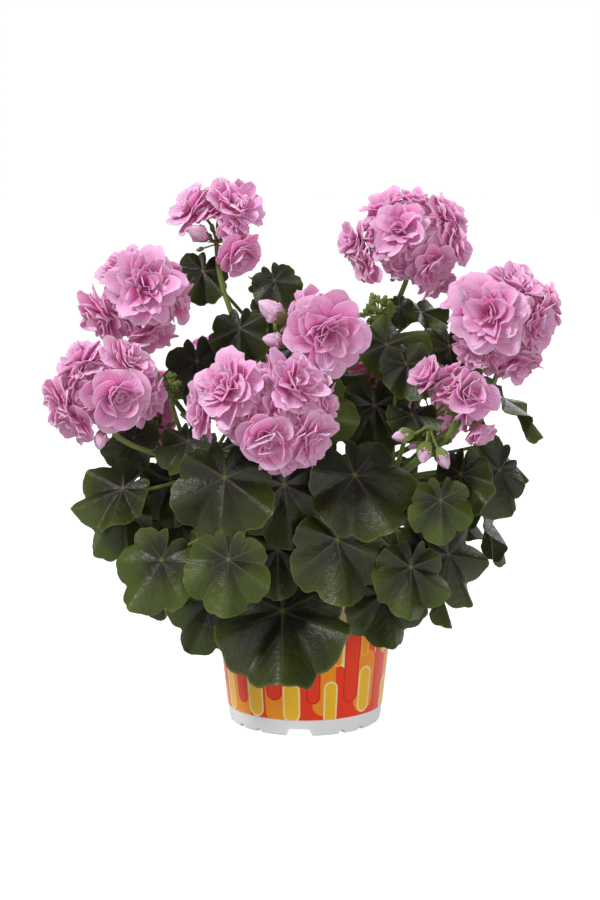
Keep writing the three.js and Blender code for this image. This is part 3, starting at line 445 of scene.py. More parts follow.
for leaf in leaves:
    arrive = unit(leaf["normal"] + 0.4 * leaf["tip"])
    route = bestRoute(leaf["junction"], arrive, plantShape["petioleRadius"], leaf, None)
    if not (route["foreign"] and leaf["rear"]):
        leaf["stem"] = route["stem"]
        leaf["route"] = laid(route, plantShape["petioleRadius"])
leaves = [leaf for leaf in leaves if leaf["stem"] is not None]

print("grown", len(leaves), "leaves,", len(florets), "florets")
mm = 0.001
chance = np.random.default_rng(2604)


# nodes and the sums between them
def addNode(tree, kind, settings=None, sockets=None, output=0):
    node = tree.nodes.new(kind)
    for name, value in (settings or {}).items():
        setattr(node, name, value)
    for name, value in (sockets or {}).items():
        if isinstance(value, Wire):
            tree.links.new(value.socket, node.inputs[name])
        else:
            node.inputs[name].default_value = value
    return Wire(tree, node.outputs[output])


class Wire:
    # a socket that can be reckoned with: each operator adds its own node
    def __init__(self, tree, socket):
        self.tree = tree
        self.socket = socket

    def maths(self, operation, *others):
        values = dict(enumerate((self, *others)))
        return addNode(self.tree, "ShaderNodeMath", {"operation": operation}, values)

    def __add__(self, other):
        return self.maths("ADD", other)

    def __sub__(self, other):
        return self.maths("SUBTRACT", other)

    def __rsub__(self, other):
        return self * -1.0 + other

    def __mul__(self, other):
        return self.maths("MULTIPLY", other)

    def __truediv__(self, other):
        return self.maths("DIVIDE", other)

    def __abs__(self):
        return self.maths("ABSOLUTE")

    __radd__ = __add__
    __rmul__ = __mul__


class Look:
    # a material, its shader, its shades and the few nodes that all of them use
    def __init__(self, name, shades=None, **constants):
        self.shades = shades
        self.material = bpy.data.materials.new(name)
        self.material.use_nodes = True
        self.tree = self.material.node_tree
        self.shader = self.tree.nodes["Principled BSDF"]
        for socket, value in constants.items():
            self.shader.inputs[socket.replace("_", " ")].default_value = value

    def node(self, kind, settings=None, sockets=None, output=0):
        return addNode(self.tree, kind, settings, sockets, output)

    def place(self):
        return self.node("ShaderNodeTexCoord", output=3)

    def split(self, vector):
        return [self.node("ShaderNodeSeparateXYZ", None, {0: vector}, i) for i in range(3)]

    def attribute(self, name):
        return self.node("ShaderNodeAttribute", {"attribute_name": name}, output=2)

    def map(self, name):
        return self.split(self.node("ShaderNodeUVMap", {"uv_map": name}))

    def noise(self, where, scale, detail=3.0, rough=0.55):
        sockets = {"Vector": where, "Scale": scale, "Detail": detail, "Roughness": rough}
        return self.node("ShaderNodeTexNoise", None, sockets)

    def fade(self, value, low, high):
        sockets = {0: value, 1: low, 2: high, 3: 0.0, 4: 1.0}
        return self.node("ShaderNodeMapRange", {"interpolation_type": "SMOOTHSTEP"}, sockets)

    def blend(self, share, first, second):
        return self.node("ShaderNodeMix", {"data_type": "RGBA"}, {0: share, 6: first, 7: second}, 2)

    def layered(self, colour, **shares):
        # each named shade is laid over the ones before it
        for shade, share in shares.items():
            colour = self.blend(share, colour, self.shades[shade])
        return colour

    def connect(self, colour=None, roughness=None, height=None, distance=mm, strength=1.0):
        if colour is not None:
            self.tree.links.new(colour.socket, self.shader.inputs["Base Color"])
        if roughness is not None:
            self.tree.links.new(roughness.socket, self.shader.inputs["Roughness"])
        if height is not None:
            sockets = {"Height": height, "Distance": distance, "Strength": strength}
            bump = self.node("ShaderNodeBump", None, sockets)
            self.tree.links.new(bump.socket, self.shader.inputs["Normal"])
        return self.material


def paint(red, green, blue):
    # a screen colour, 0 to 255, as the shader's linear one
    linear = [(v / 255 / 12.92) if v / 255 <= 0.04045 else ((v / 255 + 0.055) / 1.055) ** 2.4
              for v in (red, green, blue)]
    return (*linear, 1.0)


# petals: lilac pink, paler towards the edge, deeper magenta towards the throat (partly their own colour,
# partly painted shade between the petals), with fine veins and a faint painted pink glow
petalLook = {
    # deep: throat magenta, partly the petal's own colour and partly painted shade deep between the petals
    "deep": paint(180, 34, 112), "rose": paint(213, 110, 168), "body": paint(224, 164, 202),
    # glow: the colour of a painted glow that lightens the petals where they lie in shade
    "pale": paint(228, 187, 210), "back": paint(229, 183, 208), "glow": paint(230, 104, 166),
    "vein": paint(206, 94, 158), "veins": 11,
}


def petalMaterial():
    # the faint pink emission is painted light: the petals glow a little so their shade is lighter and pinker
    look = Look("petal lilac pink", petalLook, Roughness=0.5, Specular_IOR_Level=0.18,
                Subsurface_Weight=0.6, Subsurface_Scale=2.6 * mm, Subsurface_Radius=(1.0, 0.3, 0.55),
                Emission_Color=petalLook["glow"], Emission_Strength=0.045)
    across, along, _ = look.map("petal")
    tone = look.attribute("tone")
    under = look.attribute("under")
    where = look.place()
    patch = look.noise(where, 120.0)
    side = abs(across - 0.5) * 2
    wander = look.noise(where, 200.0) * 1.6
    line = abs((across * petalLook["veins"] + wander).maths("FRACT") - 0.5) * 2
    vein = look.fade(line, 0.4, 0.95) * (1 - look.fade(along, 0.6, 1.05))
    edge = look.fade(along + side * side * 0.2, 0.7, 1.1)
    # throat mask: deeper magenta from the petal's foot far along it, partly its own colour and partly
    # painted shade where petals crowd
    throatAndShade = 1 - look.fade(along + patch * 0.25 + side * 0.05 + tone * 0.12, 0.12, 0.8)
    colour = look.layered(
        petalLook["rose"], body=look.fade(along + tone * 0.7 - 0.35, 0.15, 0.85),
        pale=edge * 0.6 + (patch - 0.5) * 0.5 + tone * 0.1, back=under * 0.35, vein=vein * 0.58,
        deep=throatAndShade * 0.85)
    height = vein * -0.2 + look.noise(where, 900.0) * 0.05 + look.noise(where, 190.0) * 0.35
    return look.connect(colour, 0.46 + patch * 0.12, height, strength=0.8)


# leaves: dark green with a faint purple brown zone, paler ribs and a lighter rim
leafLook = {
    "green": paint(48, 55, 12), "dark": paint(16, 20, 6), "bright": paint(68, 82, 20),
    "zone": paint(24, 13, 13), "rib": paint(76, 84, 40), "rim": paint(92, 102, 36),
    "heart": paint(100, 112, 42), "under": paint(72, 84, 40), "span": 2.8,
}


def leafMaterial():
    look = Look("leaf dark green", leafLook, Roughness=0.4, Specular_IOR_Level=0.26)
    u, v, _ = look.map("blade")
    tone = look.attribute("tone")
    under = look.attribute("under")
    rim = look.attribute("rim")
    where = look.place()
    x = (u - 0.5) * leafLook["span"]
    y = (v - 0.5) * leafLook["span"]
    out = (x * x + y * y).maths("SQRT")
    period = bladeShape["lobeAngle"]
    off = ((y.maths("ARCTAN2", x) / period + 8.5).maths("FRACT") - 0.5) * period
    lateral = abs(out * off.maths("SINE"))
    forward = out * off.maths("COSINE")
    rib = 1 - look.fade(lateral + out * 0.014, 0.006, 0.034)
    branch = (forward - lateral * bladeShape["branchSlant"]) / bladeShape["branchGap"] + tone * 0.7
    twig = abs((branch + 9).maths("FRACT") - 0.5) * 2
    twigs = look.fade(twig, 0.86, 0.99) * look.fade(lateral, 0.0, 0.05) * look.fade(out, 0.2, 0.45)
    mesh = {"Vector": where, "Scale": 420.0}
    net = look.node("ShaderNodeTexVoronoi", {"feature": "DISTANCE_TO_EDGE"}, mesh)
    cells = 1 - look.fade(net, 0.0, 0.16)
    patch = look.noise(where, 70.0)
    zone = 1 - look.fade(out + patch * 0.3 - lateral * 0.5 - tone * 0.16, 0.22, 0.6)
    colour = look.layered(
        leafLook["dark"], green=look.fade(out + patch * 0.9 + tone * 0.5, 0.7, 1.9),
        bright=look.fade(tone * 0.6 + out * 0.5 + patch * 0.4, 0.85, 1.3) * 0.7,
        zone=zone * (0.75 - tone * 0.35), rim=look.fade(rim, 0.955, 1.0) * 0.5,
        rib=rib * (0.42 - look.fade(out, 0.1, 0.7) * 0.24) + twigs * 0.1 + cells * 0.03,
        heart=(1 - look.fade(out + patch * 0.05, 0.02, 0.1)) * 0.6, under=under * 0.75)
    relief = look.noise(where, 330.0) * 0.25 + look.noise(where, 60.0) * 1.6
    height = (rib * -0.15 + twigs * -0.12 + cells * -0.05 + relief) * (1 - under * 1.6)
    return look.connect(colour, 0.32 + patch * 0.16 + cells * 0.05, height, strength=0.9)


# stalks, sepals and bracts: lighter green, browner low down
stalkLook = {
    "green": paint(84, 102, 38), "light": paint(118, 136, 58), "brown": paint(84, 70, 40),
    "red": paint(140, 90, 70),
}


def stalkMaterial():
    look = Look("stalk green", stalkLook, Roughness=0.52, Specular_IOR_Level=0.35, Sheen_Weight=0.15,
                Sheen_Roughness=0.4, Subsurface_Weight=0.08, Subsurface_Scale=0.8 * mm,
                Subsurface_Radius=(0.6, 1.0, 0.3))
    where = look.place()
    height = look.split(where)[2]
    patch = look.noise(where, 90.0)
    fine = look.noise(where, 700.0)
    blush = look.attribute("blush")
    low = 1 - look.fade(height + patch * 0.03, 0.1, 0.16)
    colour = look.layered(stalkLook["green"], light=patch, brown=low, red=blush * (0.3 + patch * 0.5))
    return look.connect(colour, 0.45 + fine * 0.2, fine * 0.25 + patch * 0.2, strength=0.6)


# pot: white moulded plastic with a printed wrap of staggered round-ended bars
wrapLook = {
    "bottom": 11.6, "top": 88.5, "girth": 58.0, "soft": 0.25, "inset": 1.1, "ground": paint(248, 60, 18),
    "orange": paint(255, 156, 22), "amber": paint(255, 200, 44), "cream": paint(255, 246, 182),
    "red": paint(222, 30, 16), "white": paint(248, 248, 248), "grey": paint(224, 224, 226),
    "edge": paint(246, 200, 190),
}
# how many round the pot, turn, half width, middle height and its spread, half length and its spread, colours
wrapBars = [
    (11, 0.1, 10.0, 30.0, 14.0, 12.0, 8.0, "orange", "orange"),
    (11, 0.6, 10.0, 74.0, 12.0, 16.0, 8.0, "cream", "cream"),
    (13, 0.3, 6.4, 44.0, 16.0, 12.0, 8.0, "red", "ground"),
    (13, 0.85, 6.6, 26.0, 8.0, 6.0, 6.0, "cream", "amber"),
    (17, 0.45, 4.0, 62.0, 20.0, 8.0, 8.0, "amber", "orange"),
]


def potMaterial():
    look = Look("pot printed plastic", wrapLook, Specular_IOR_Level=0.22)
    where = look.place()
    x, y, z = look.split(where)
    height = z / mm
    angle = x.maths("ARCTAN2", y * -1.0) / circle
    colour = wrapLook["ground"]
    for number, (count, turn, half, middle, spread, length, longer, outer, inner) in enumerate(wrapBars):
        cell = (angle + 1.0) * count + turn
        place = cell.maths("FLOOR").maths("MODULO", float(count)) + 0.5 + 40.0 * number
        seed = look.node("ShaderNodeTexWhiteNoise", {"noise_dimensions": "1D"}, {"W": place}, 1)
        first, second, third = look.split(seed)
        offset = abs((cell.maths("FRACT") - 0.5) * (circle * wrapLook["girth"] / count))
        centre = middle + (first - 0.5) * spread
        rise = abs(height - centre) - (length + second * longer)
        beyond = rise.maths("MAXIMUM", 0.0)
        gap = (offset * offset + beyond * beyond).maths("SQRT")
        within = gap - half * (0.72 + third * 0.28)
        for shade, inset in ((outer, 0.0), (inner, wrapLook["inset"])):
            mask = 1 - look.fade(within + inset, -wrapLook["soft"], wrapLook["soft"])
            colour = look.blend(mask, colour, wrapLook[shade])
    fine = look.noise(where, 45.0)
    colour = look.layered(colour, red=fine * 0.12)

    def reached(level):
        return look.fade(height, level - 0.1, level + 0.1)

    printed = reached(wrapLook["bottom"]) * (1 - reached(wrapLook["top"]))
    out = (x * x + y * y).maths("SQRT") / mm
    outside = look.fade(out - height * 0.105, 51.2, 52.0)
    border = look.fade(height, wrapLook["bottom"] - 0.6, wrapLook["bottom"] - 0.5)
    plain = look.layered(wrapLook["white"], grey=fine * 0.25, edge=border * outside * 0.8,
                         white=look.fade(height, 89.0, 89.2))
    colour = look.blend(printed * outside, plain, colour)
    grain = look.noise(where, 600.0)
    return look.connect(colour, 0.3 + grain * 0.1 + (1 - printed) * 0.1, grain * 0.04, strength=0.5)


# compost: dark, matt and crumbly
soilLook = {"dark": paint(36, 26, 20), "brown": paint(84, 62, 46), "straw": paint(140, 112, 80)}


def soilMaterial():
    look = Look("compost dark", soilLook, Roughness=0.95, Specular_IOR_Level=0.2)
    where = look.place()
    patch = look.noise(where, 160.0, 6.0, 0.7)
    fibre = look.noise(where, 900.0, 4.0, 0.7)
    colour = look.layered(soilLook["dark"], brown=look.fade(patch, 0.35, 0.7),
                          straw=look.fade(fibre, 0.64, 0.74) * 0.6)
    return look.connect(colour, None, patch * 1.2 + fibre * 0.5, strength=0.9)


finishes = {"petals": petalMaterial(), "leaves": leafMaterial(), "stalks": stalkMaterial(),
            "pot": potMaterial(), "soil": soilMaterial()}
print("materials made")


# steps that every piece needs
def startPiece():
    if bpy.context.object and bpy.context.object.mode != "OBJECT":
        bpy.ops.object.mode_set(mode="OBJECT")
    bpy.ops.object.select_all(action="DESELECT")


def only(piece):
    startPiece()
    piece.select_set(True)
    bpy.context.view_layer.objects.active = piece


def openMesh():
    bpy.ops.object.mode_set(mode="EDIT")
    bpy.ops.mesh.select_all(action="SELECT")


def drawOut(rise, share, height=0):
    bpy.ops.mesh.extrude_region_move(TRANSFORM_OT_translate={"value": (0, 0, rise)})
    bpy.ops.transform.resize(value=(share, share, 1), center_override=(0, 0, height))


def closeMesh():
    bpy.ops.mesh.select_all(action="SELECT")
    bpy.ops.mesh.normals_make_consistent(inside=False)
    bpy.ops.object.mode_set(mode="OBJECT")


def applied(piece, kind, **settings):
    modifier = piece.modifiers.new(kind, kind)
    for name, value in settings.items():
        setattr(modifier, name, value)
    only(piece)
    bpy.ops.object.modifier_apply(modifier=modifier.name)


def readForm(piece):
    # a blank's points, corners and face starts, as arrays that every copy uses
    mesh = piece.data
    points = np.empty(3 * len(mesh.vertices))
    corners = np.empty(len(mesh.loops), int)
    starts = np.empty(len(mesh.polygons), int)
    mesh.vertices.foreach_get("co", points)
    mesh.loops.foreach_get("vertex_index", corners)
    mesh.polygons.foreach_get("loop_start", starts)
    bpy.data.objects.remove(piece)
    return {"points": points.reshape(-1, 3), "corners": corners, "starts": starts}


def clip(points):
    # nothing reaches past the frame's own box
    return np.clip(points, np.array(frameLow) + 0.2 * mm, np.array(frameHigh) - 0.2 * mm)


def gathered(copies, group, *width):
    # each map or value of the copies in one run, nought where a copy has none
    for key in sorted({key for copy in copies for key in copy.get(group, {})}):
        yield key, np.concatenate([
            copy.get(group, {}).get(key, np.zeros((len(copy["points"]), *width))) for copy in copies])


def makePiece(name, copies, finish, node, sharp=38):
    # each copy has its form and its points in mm, and may have maps and values for each point
    mesh = bpy.data.meshes.new(name)
    counts = np.cumsum([0] + [len(c["points"]) for c in copies])
    loops = np.cumsum([0] + [len(c["form"]["corners"]) for c in copies])
    points = clip(np.concatenate([c["points"] for c in copies]) * mm)
    corners = np.concatenate([c["form"]["corners"] + n for c, n in zip(copies, counts)])
    starts = np.concatenate([c["form"]["starts"] + n for c, n in zip(copies, loops)])
    mesh.vertices.add(len(points))
    mesh.loops.add(len(corners))
    mesh.polygons.add(len(starts))
    mesh.vertices.foreach_set("co", points.ravel())
    mesh.loops.foreach_set("vertex_index", corners)
    mesh.polygons.foreach_set("loop_start", starts)
    mesh.update(calc_edges=True)
    mesh.validate()
    for key, flat in gathered(copies, "maps", 2):
        mesh.uv_layers.new(name=key).data.foreach_set("uv", flat[corners].ravel())
    for key, flat in gathered(copies, "values"):
        mesh.attributes.new(key, "FLOAT", "POINT").data.foreach_set("value", flat.astype(np.float32))
    piece = bpy.data.objects.new(name, mesh)
    bpy.context.scene.collection.objects.link(piece)
    finishPiece(piece, finish, node, sharp)


def finishPiece(piece, finish, node, sharp):
    piece.data.materials.clear()
    piece.data.materials.append(finishes[finish])
    only(piece)
    bpy.ops.object.shade_smooth_by_angle(angle=math.radians(sharp))
    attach(piece, "root")
    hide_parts(node)


# each form that repeats is modelled flat once
blankShape = {"petal": (5, 5), "inner": (4, 4), "sepal": (2, 4), "bladeSides": 98,
              "bladeRings": (0.965, 0.88, 0.76, 0.61, 0.45, 0.28, 0.12)}


def stripBlank(cells):
    # a thin strip, 2 wide and 2 long and 1 thick, with its map and the side that is its back
    startPiece()
    bpy.ops.mesh.primitive_grid_add(x_subdivisions=cells[0], y_subdivisions=cells[1], size=2)
    piece = bpy.context.object
    applied(piece, "SOLIDIFY", thickness=1, offset=0)
    form = readForm(piece)
    form["map"] = (form["points"][:, :2] + 1) / 2
    form["back"] = (form["points"][:, 2] < 0).astype(float)
    return form


def bladeBlank():
    startPiece()
    bpy.ops.mesh.primitive_circle_add(vertices=blankShape["bladeSides"], radius=1)
    piece = bpy.context.object
    openMesh()
    before = 1
    for share in blankShape["bladeRings"]:
        drawOut(0, share / before)
        before = share
    bpy.ops.mesh.extrude_region_move(TRANSFORM_OT_translate={"value": (0, 0, 0)})
    bpy.ops.mesh.merge(type="CENTER")
    closeMesh()
    if piece.data.polygons[0].normal.z < 0:
        openMesh()
        bpy.ops.mesh.flip_normals()
        bpy.ops.object.mode_set(mode="OBJECT")
    applied(piece, "SOLIDIFY", thickness=1, offset=0)
    return readForm(piece)


petalForm, innerForm, sepalForm = (stripBlank(blankShape[name]) for name in ("petal", "inner", "sepal"))
bladeForm = bladeBlank()
startPiece()
bpy.ops.mesh.primitive_cone_add(vertices=3, radius1=1, radius2=0, depth=1)
hairForm = readForm(bpy.context.object)
print("blanks made", len(petalForm["starts"]), len(bladeForm["starts"]), "faces")


# pot, turned up from its foot, then notched and drilled
potShape = {
    "sides": 96,
    # radius and height of each ring, from under the floor round the rim to the inner floor
    "rings": [(46, 5), (46, 0), (51.2, 0), (52.3, 0.7), (53, 3), (53.6, 10.9), (54.1, 11.15), (54.2, 11.6),
              (62.5, 88.2), (62.7, 88.8), (62.7, 90), (64.4, 90.3), (64.75, 91), (65, 100), (64.95, 103.2),
              (64.4, 103.9), (63.2, 104), (62.3, 103.7), (62, 102.8), (60.9, 90), (52.2, 12), (51.2, 9),
              (48.5, 7.6)],
    # width at the ground, slant, height and places round the foot
    "notches": [(18, 2.2, 5.0, (0, 180)), (5.4, 1.3, 3.2, (33, 51, 70, 135, 225, 290, 309, 327))],
    "notchRound": 1.0, "notchSegments": 3, "turn": -4.3, "foot": 53, "footWidth": 7,
    "drainHoles": 4, "drainSides": 24, "drainRadius": 3.5, "drainCircle": 30, "drainDepth": 30,
}


def turned(name, sides, rings):
    # a form turned up from ring to ring, left open with its last face selected
    startPiece()
    before, level = rings[0]
    bpy.ops.mesh.primitive_circle_add(vertices=sides, radius=before * mm, fill_type="NGON",
                                      location=(0, 0, level * mm))
    piece = bpy.context.object
    piece.name = name
    bpy.ops.object.transform_apply(location=True)
    openMesh()
    bpy.ops.mesh.select_mode(type="EDGE")
    bpy.ops.mesh.region_to_loop()
    for radius, height in rings[1:]:
        drawOut((height - level) * mm, radius / before, height * mm)
        before, level = radius, height
    bpy.ops.mesh.edge_face_add()
    return piece


def cutWith(piece, cutter):
    applied(piece, "BOOLEAN", operation="DIFFERENCE", object=cutter, solver="EXACT")
    bpy.data.objects.remove(cutter)


def makePot():
    piece = turned("potBody", potShape["sides"], potShape["rings"])
    closeMesh()
    reach = (potShape["foot"] - potShape["footWidth"] / 2) * mm
    for width, slant, high, places in potShape["notches"]:
        bottom, top = ((width / 2 + wider) * math.sqrt(2) * mm for wider in (slant, -slant))
        for degree in places:
            turn = math.radians(degree + potShape["turn"])
            startPiece()
            bpy.ops.mesh.primitive_cone_add(vertices=4, radius1=bottom, radius2=top, depth=2 * high * mm)
            cutter = bpy.context.object
            openMesh()
            deep = 3 * potShape["footWidth"] / width
            bpy.ops.transform.rotate(value=math.pi / 4, orient_axis="Z", center_override=(0, 0, 0))
            bpy.ops.transform.resize(value=(1, deep, 1), center_override=(0, 0, 0))
            bpy.ops.mesh.bevel(offset=potShape["notchRound"] * mm, segments=potShape["notchSegments"])
            bpy.ops.transform.rotate(value=-turn, orient_axis="Z", center_override=(0, 0, 0))
            bpy.ops.transform.translate(value=(math.sin(turn) * reach, -math.cos(turn) * reach, 0))
            bpy.ops.object.mode_set(mode="OBJECT")
            cutWith(piece, cutter)
    out = potShape["drainCircle"] * mm
    for i in range(potShape["drainHoles"]):
        turn = math.pi / 4 + i * math.pi / 2
        startPiece()
        bpy.ops.mesh.primitive_cylinder_add(
            vertices=potShape["drainSides"], radius=potShape["drainRadius"] * mm,
            depth=potShape["drainDepth"] * mm, location=(out * math.cos(turn), out * math.sin(turn), 0))
        cutWith(piece, bpy.context.object)
    finishPiece(piece, "pot", "pot", 35)


makePot()
print("pot made")


# compost with a lumpy top and loose crumbs
soilShape = {
    "sides": 72, "wall": 60.6, "top": 92.0, "rings": 12, "shoulder": 2.4,
    # how far inside the wall and how high the two lowest rings are
    "bottom": (9.6, 7.8), "elbow": (8.6, 12.0),
    "crumbs": 420, "crumbSizes": (0.5, 1.9), "crumbReach": 59, "crumbWall": 60.2,
}


def roughness(x, y):
    # three sizes of lumps, in mm
    return (1.1 * np.sin(0.21 * x + 0.6) * np.cos(0.17 * y - 0.4) + 0.7 * np.sin(0.53 * x + 0.31 * y)
            + 0.5 * np.cos(0.83 * y - 0.6 * x) + 0.35 * np.sin(1.9 * x) * np.cos(1.7 * y))


def makeSoil():
    wall, top, count = soilShape["wall"], soilShape["top"], soilShape["rings"]
    rings = [(wall - inside, height) for inside, height in (soilShape["bottom"], soilShape["elbow"])]
    rings += [(wall, top - soilShape["shoulder"])] + [(wall * (1 - i / count), top) for i in range(1, count)]
    piece = turned("compost", soilShape["sides"], rings)
    bpy.ops.mesh.poke()
    closeMesh()
    for vertex in piece.data.vertices:
        if vertex.co.z > (top - 1) * mm:
            vertex.co.z += float(roughness(vertex.co.x / mm, vertex.co.y / mm)) * mm
    startPiece()
    bpy.ops.mesh.primitive_ico_sphere_add(subdivisions=1, radius=1)
    crumb = readForm(bpy.context.object)
    copies = []
    for _ in range(soilShape["crumbs"]):
        turn = chance.uniform(0, circle)
        out = soilShape["crumbReach"] * math.sqrt(chance.uniform(0, 1))
        size = chance.uniform(*soilShape["crumbSizes"])
        x, y = out * math.cos(turn), out * math.sin(turn)
        lumpy = crumb["points"] * size * chance.uniform(0.6, 1.25, 3)
        lumpy = lumpy * chance.uniform(0.8, 1.15, (len(lumpy), 1))
        points = lumpy + (x, y, top + roughness(x, y) + 0.25 * size)
        reach = np.hypot(points[:, 0], points[:, 1])
        points[:, :2] *= np.minimum(1, soilShape["crumbWall"] / np.maximum(reach, 1))[:, None]
        copies.append({"form": crumb, "points": points})
    makePiece("compostCrumbs", copies, "soil", "soil", 60)
    finishPiece(piece, "soil", "soil", 60)


makeSoil()
print("compost made")


# leaf blades
leafShape = {
    "thickness": 0.5, "crenate": 0.016, "groove": 0.012, "ribWidth": 0.09, "pucker": 0.006, "edgeCurl": 0.05,
    "flop": 0.036, "crease": 0.27, "lobes": 0.045, "apart": 1.2, "steep": 7.0, "reach": 6.0,
}


def bladeMiddle(leaf):
    flat = bladeForm["points"]
    angle = np.arctan2(flat[:, 1], flat[:, 0])
    share = np.hypot(flat[:, 0], flat[:, 1])
    lobe = bladeShape["lobeAngle"]
    crenate = leafShape["crenate"] * (1 - np.cos(8 * math.pi * angle / lobe + leaf["phase"])) / 2
    off = np.abs((angle / lobe + 0.5) % 1 - 0.5) * lobe
    sinus = (2 * off / lobe) ** 3
    reach = share * bladeReach(angle) * (1 - crenate * share**6)
    reach = reach * (1 - leafShape["lobes"] * sinus * share**3)
    lateral = reach * np.sin(off)
    groove = leafShape["groove"] * np.exp(-(lateral / leafShape["ribWidth"]) ** 2) * np.minimum(reach * 3, 1)
    branch = (reach * np.cos(off) - bladeShape["branchSlant"] * lateral) / bladeShape["branchGap"]
    pucker = leafShape["pucker"] * np.cos(circle * branch) * np.clip(lateral * 5, 0, 1) * share
    curl = leafShape["edgeCurl"] * np.clip(share - 0.82, 0, 1) ** 2 * 4 * math.sin(3 * leaf["phase"])
    for wave in range(2, 7):
        swing = leafShape["flop"] * share**2.5 * chance.normal()
        curl = curl + swing * np.cos(wave * angle + chance.uniform(0, 6.3))
    radius = leaf["radius"]
    crease = leafShape["crease"] * chance.uniform(0.5, 1.15) * reach**1.3 * (2 * off / lobe - 0.5)
    height = bladeHeight(radius, leaf["phase"], angle, reach) + radius * (pucker - crease - groove - curl)
    x, y = reach * np.cos(angle), reach * np.sin(angle)
    axes = np.array([leaf["tip"], leaf["side"], leaf["normal"]])
    middle = leaf["junction"] + np.stack([radius * x, radius * y, height], 1) @ axes
    spread = np.stack([x, y], 1) / leafLook["span"] + 0.5
    return {"leaf": leaf, "axes": axes, "middle": middle, "map": spread}


def makeRoom(blade, other):
    # a blade that dips through its neighbour is lifted back to the side it mostly lies on
    face = bladeForm["points"][:, 2] > 0
    mine = (blade["middle"] - other["leaf"]["junction"]) @ other["axes"].T
    its = (other["middle"][face] - other["leaf"]["junction"]) @ other["axes"].T
    square = (mine[:, :1] - its[:, 0]) ** 2 + (mine[:, 1:2] - its[:, 1]) ** 2
    nearest = square.argmin(1)
    away = np.sqrt(square[np.arange(len(mine)), nearest])
    above = mine[:, 2] - its[nearest, 2]
    over = away < leafShape["reach"] / 2
    if over.sum() < 8:
        return
    way = 1 if np.median(above[over]) > 0 else -1
    if (above[over] * way).min() < -leafShape["steep"]:
        return
    push = np.maximum(leafShape["apart"] - above * way, 0) * np.clip(1.3 - away / leafShape["reach"], 0, 1)
    blade["middle"] = blade["middle"] + np.outer(push * way, other["leaf"]["normal"])


def bladeCopy(blade):
    flat = bladeForm["points"]
    count = len(flat)
    normal = blade["leaf"]["normal"]
    return {"form": bladeForm,
            "points": blade["middle"] + np.outer(flat[:, 2] * leafShape["thickness"], normal),
            "maps": {"blade": blade["map"]},
            "values": {"tone": np.full(count, chance.uniform(0, 1)), "under": (flat[:, 2] < 0).astype(float),
                       "rim": np.hypot(flat[:, 0], flat[:, 1])}}


blades = [bladeMiddle(leaf) for leaf in leaves]
for i, blade in enumerate(blades):
    for other in blades[:i]:
        apart = np.linalg.norm(blade["leaf"]["junction"] - other["leaf"]["junction"])
        if apart < blade["leaf"]["radius"] + other["leaf"]["radius"]:
            makeRoom(blade, other)
for number, stem in enumerate(stems):
    own = [blade for blade in blades if blade["leaf"]["stem"] is stem]
    makePiece(f"shoot{number + 1}Blades", [bladeCopy(blade) for blade in own], "leaves",
              f"shoot_{number + 1}")
print("blades made")


bendSteps = 24


# petals, sepals and bracts are the same strip, bent outwards from an axis
def bentStrip(form, frameOf, turn, length, width, lean, cup, ruffle, phase, claw, widest, tipWidth,
              thickness, blunt=0.36, power=1.15, fold=0.0, twist=0.0, notch=0.0):
    # frameOf: root, side, cross and axis; lean: degrees from the axis at the strip's foot and at its tip
    root, side, cross, axis = frameOf
    u = form["points"][:, 0]
    v = (form["points"][:, 1] + 1) / 2
    w = form["points"][:, 2]
    along = v * (1 - blunt * np.abs(u) ** 2.4 * v) - notch * v**6 * (0.5 + 0.5 * np.cos(6.5 * u + phase))
    swell = claw + (1 - claw) * np.sin(np.minimum(v / widest, 1) * math.pi / 2) ** 1.3
    half = width / 2 * swell * (1 - (1 - tipWidth) * np.clip((v - widest) / (1 - widest), 0, 1) ** 2)
    steps = np.linspace(0, 1, bendSteps + 1)
    tilts = np.radians(lean[0] + (lean[1] - lean[0]) * steps**power)
    out, rise = (np.concatenate([[0], np.cumsum((part[1:] + part[:-1]) / 2)]) / bendSteps * length
                 for part in (np.sin(tilts), np.cos(tilts)))
    tilt = np.interp(along, steps, tilts)
    wave = np.sin(2.2 * u + phase) * 0.7 + np.sin(4.4 * u + 2.3 * phase + 2.5 * v) * 0.3
    lift = (cup * half * 2 * u**2 + ruffle * length * v**2.5 * wave + thickness * w
            + fold * half * v**0.7 * np.cos(4.6 * u + 1.7 * phase) + twist * half * u * v)
    radial = np.interp(along, steps, out) - np.cos(tilt) * lift
    upward = np.interp(along, steps, rise) + np.sin(tilt) * lift
    outward = side * math.cos(turn) + cross * math.sin(turn)
    sideways = side * math.sin(turn) - cross * math.cos(turn)
    return (root + np.outer(radial, outward) + np.outer(half * u * (1 - 0.12 * cup), sideways)
            + np.outer(upward, axis))


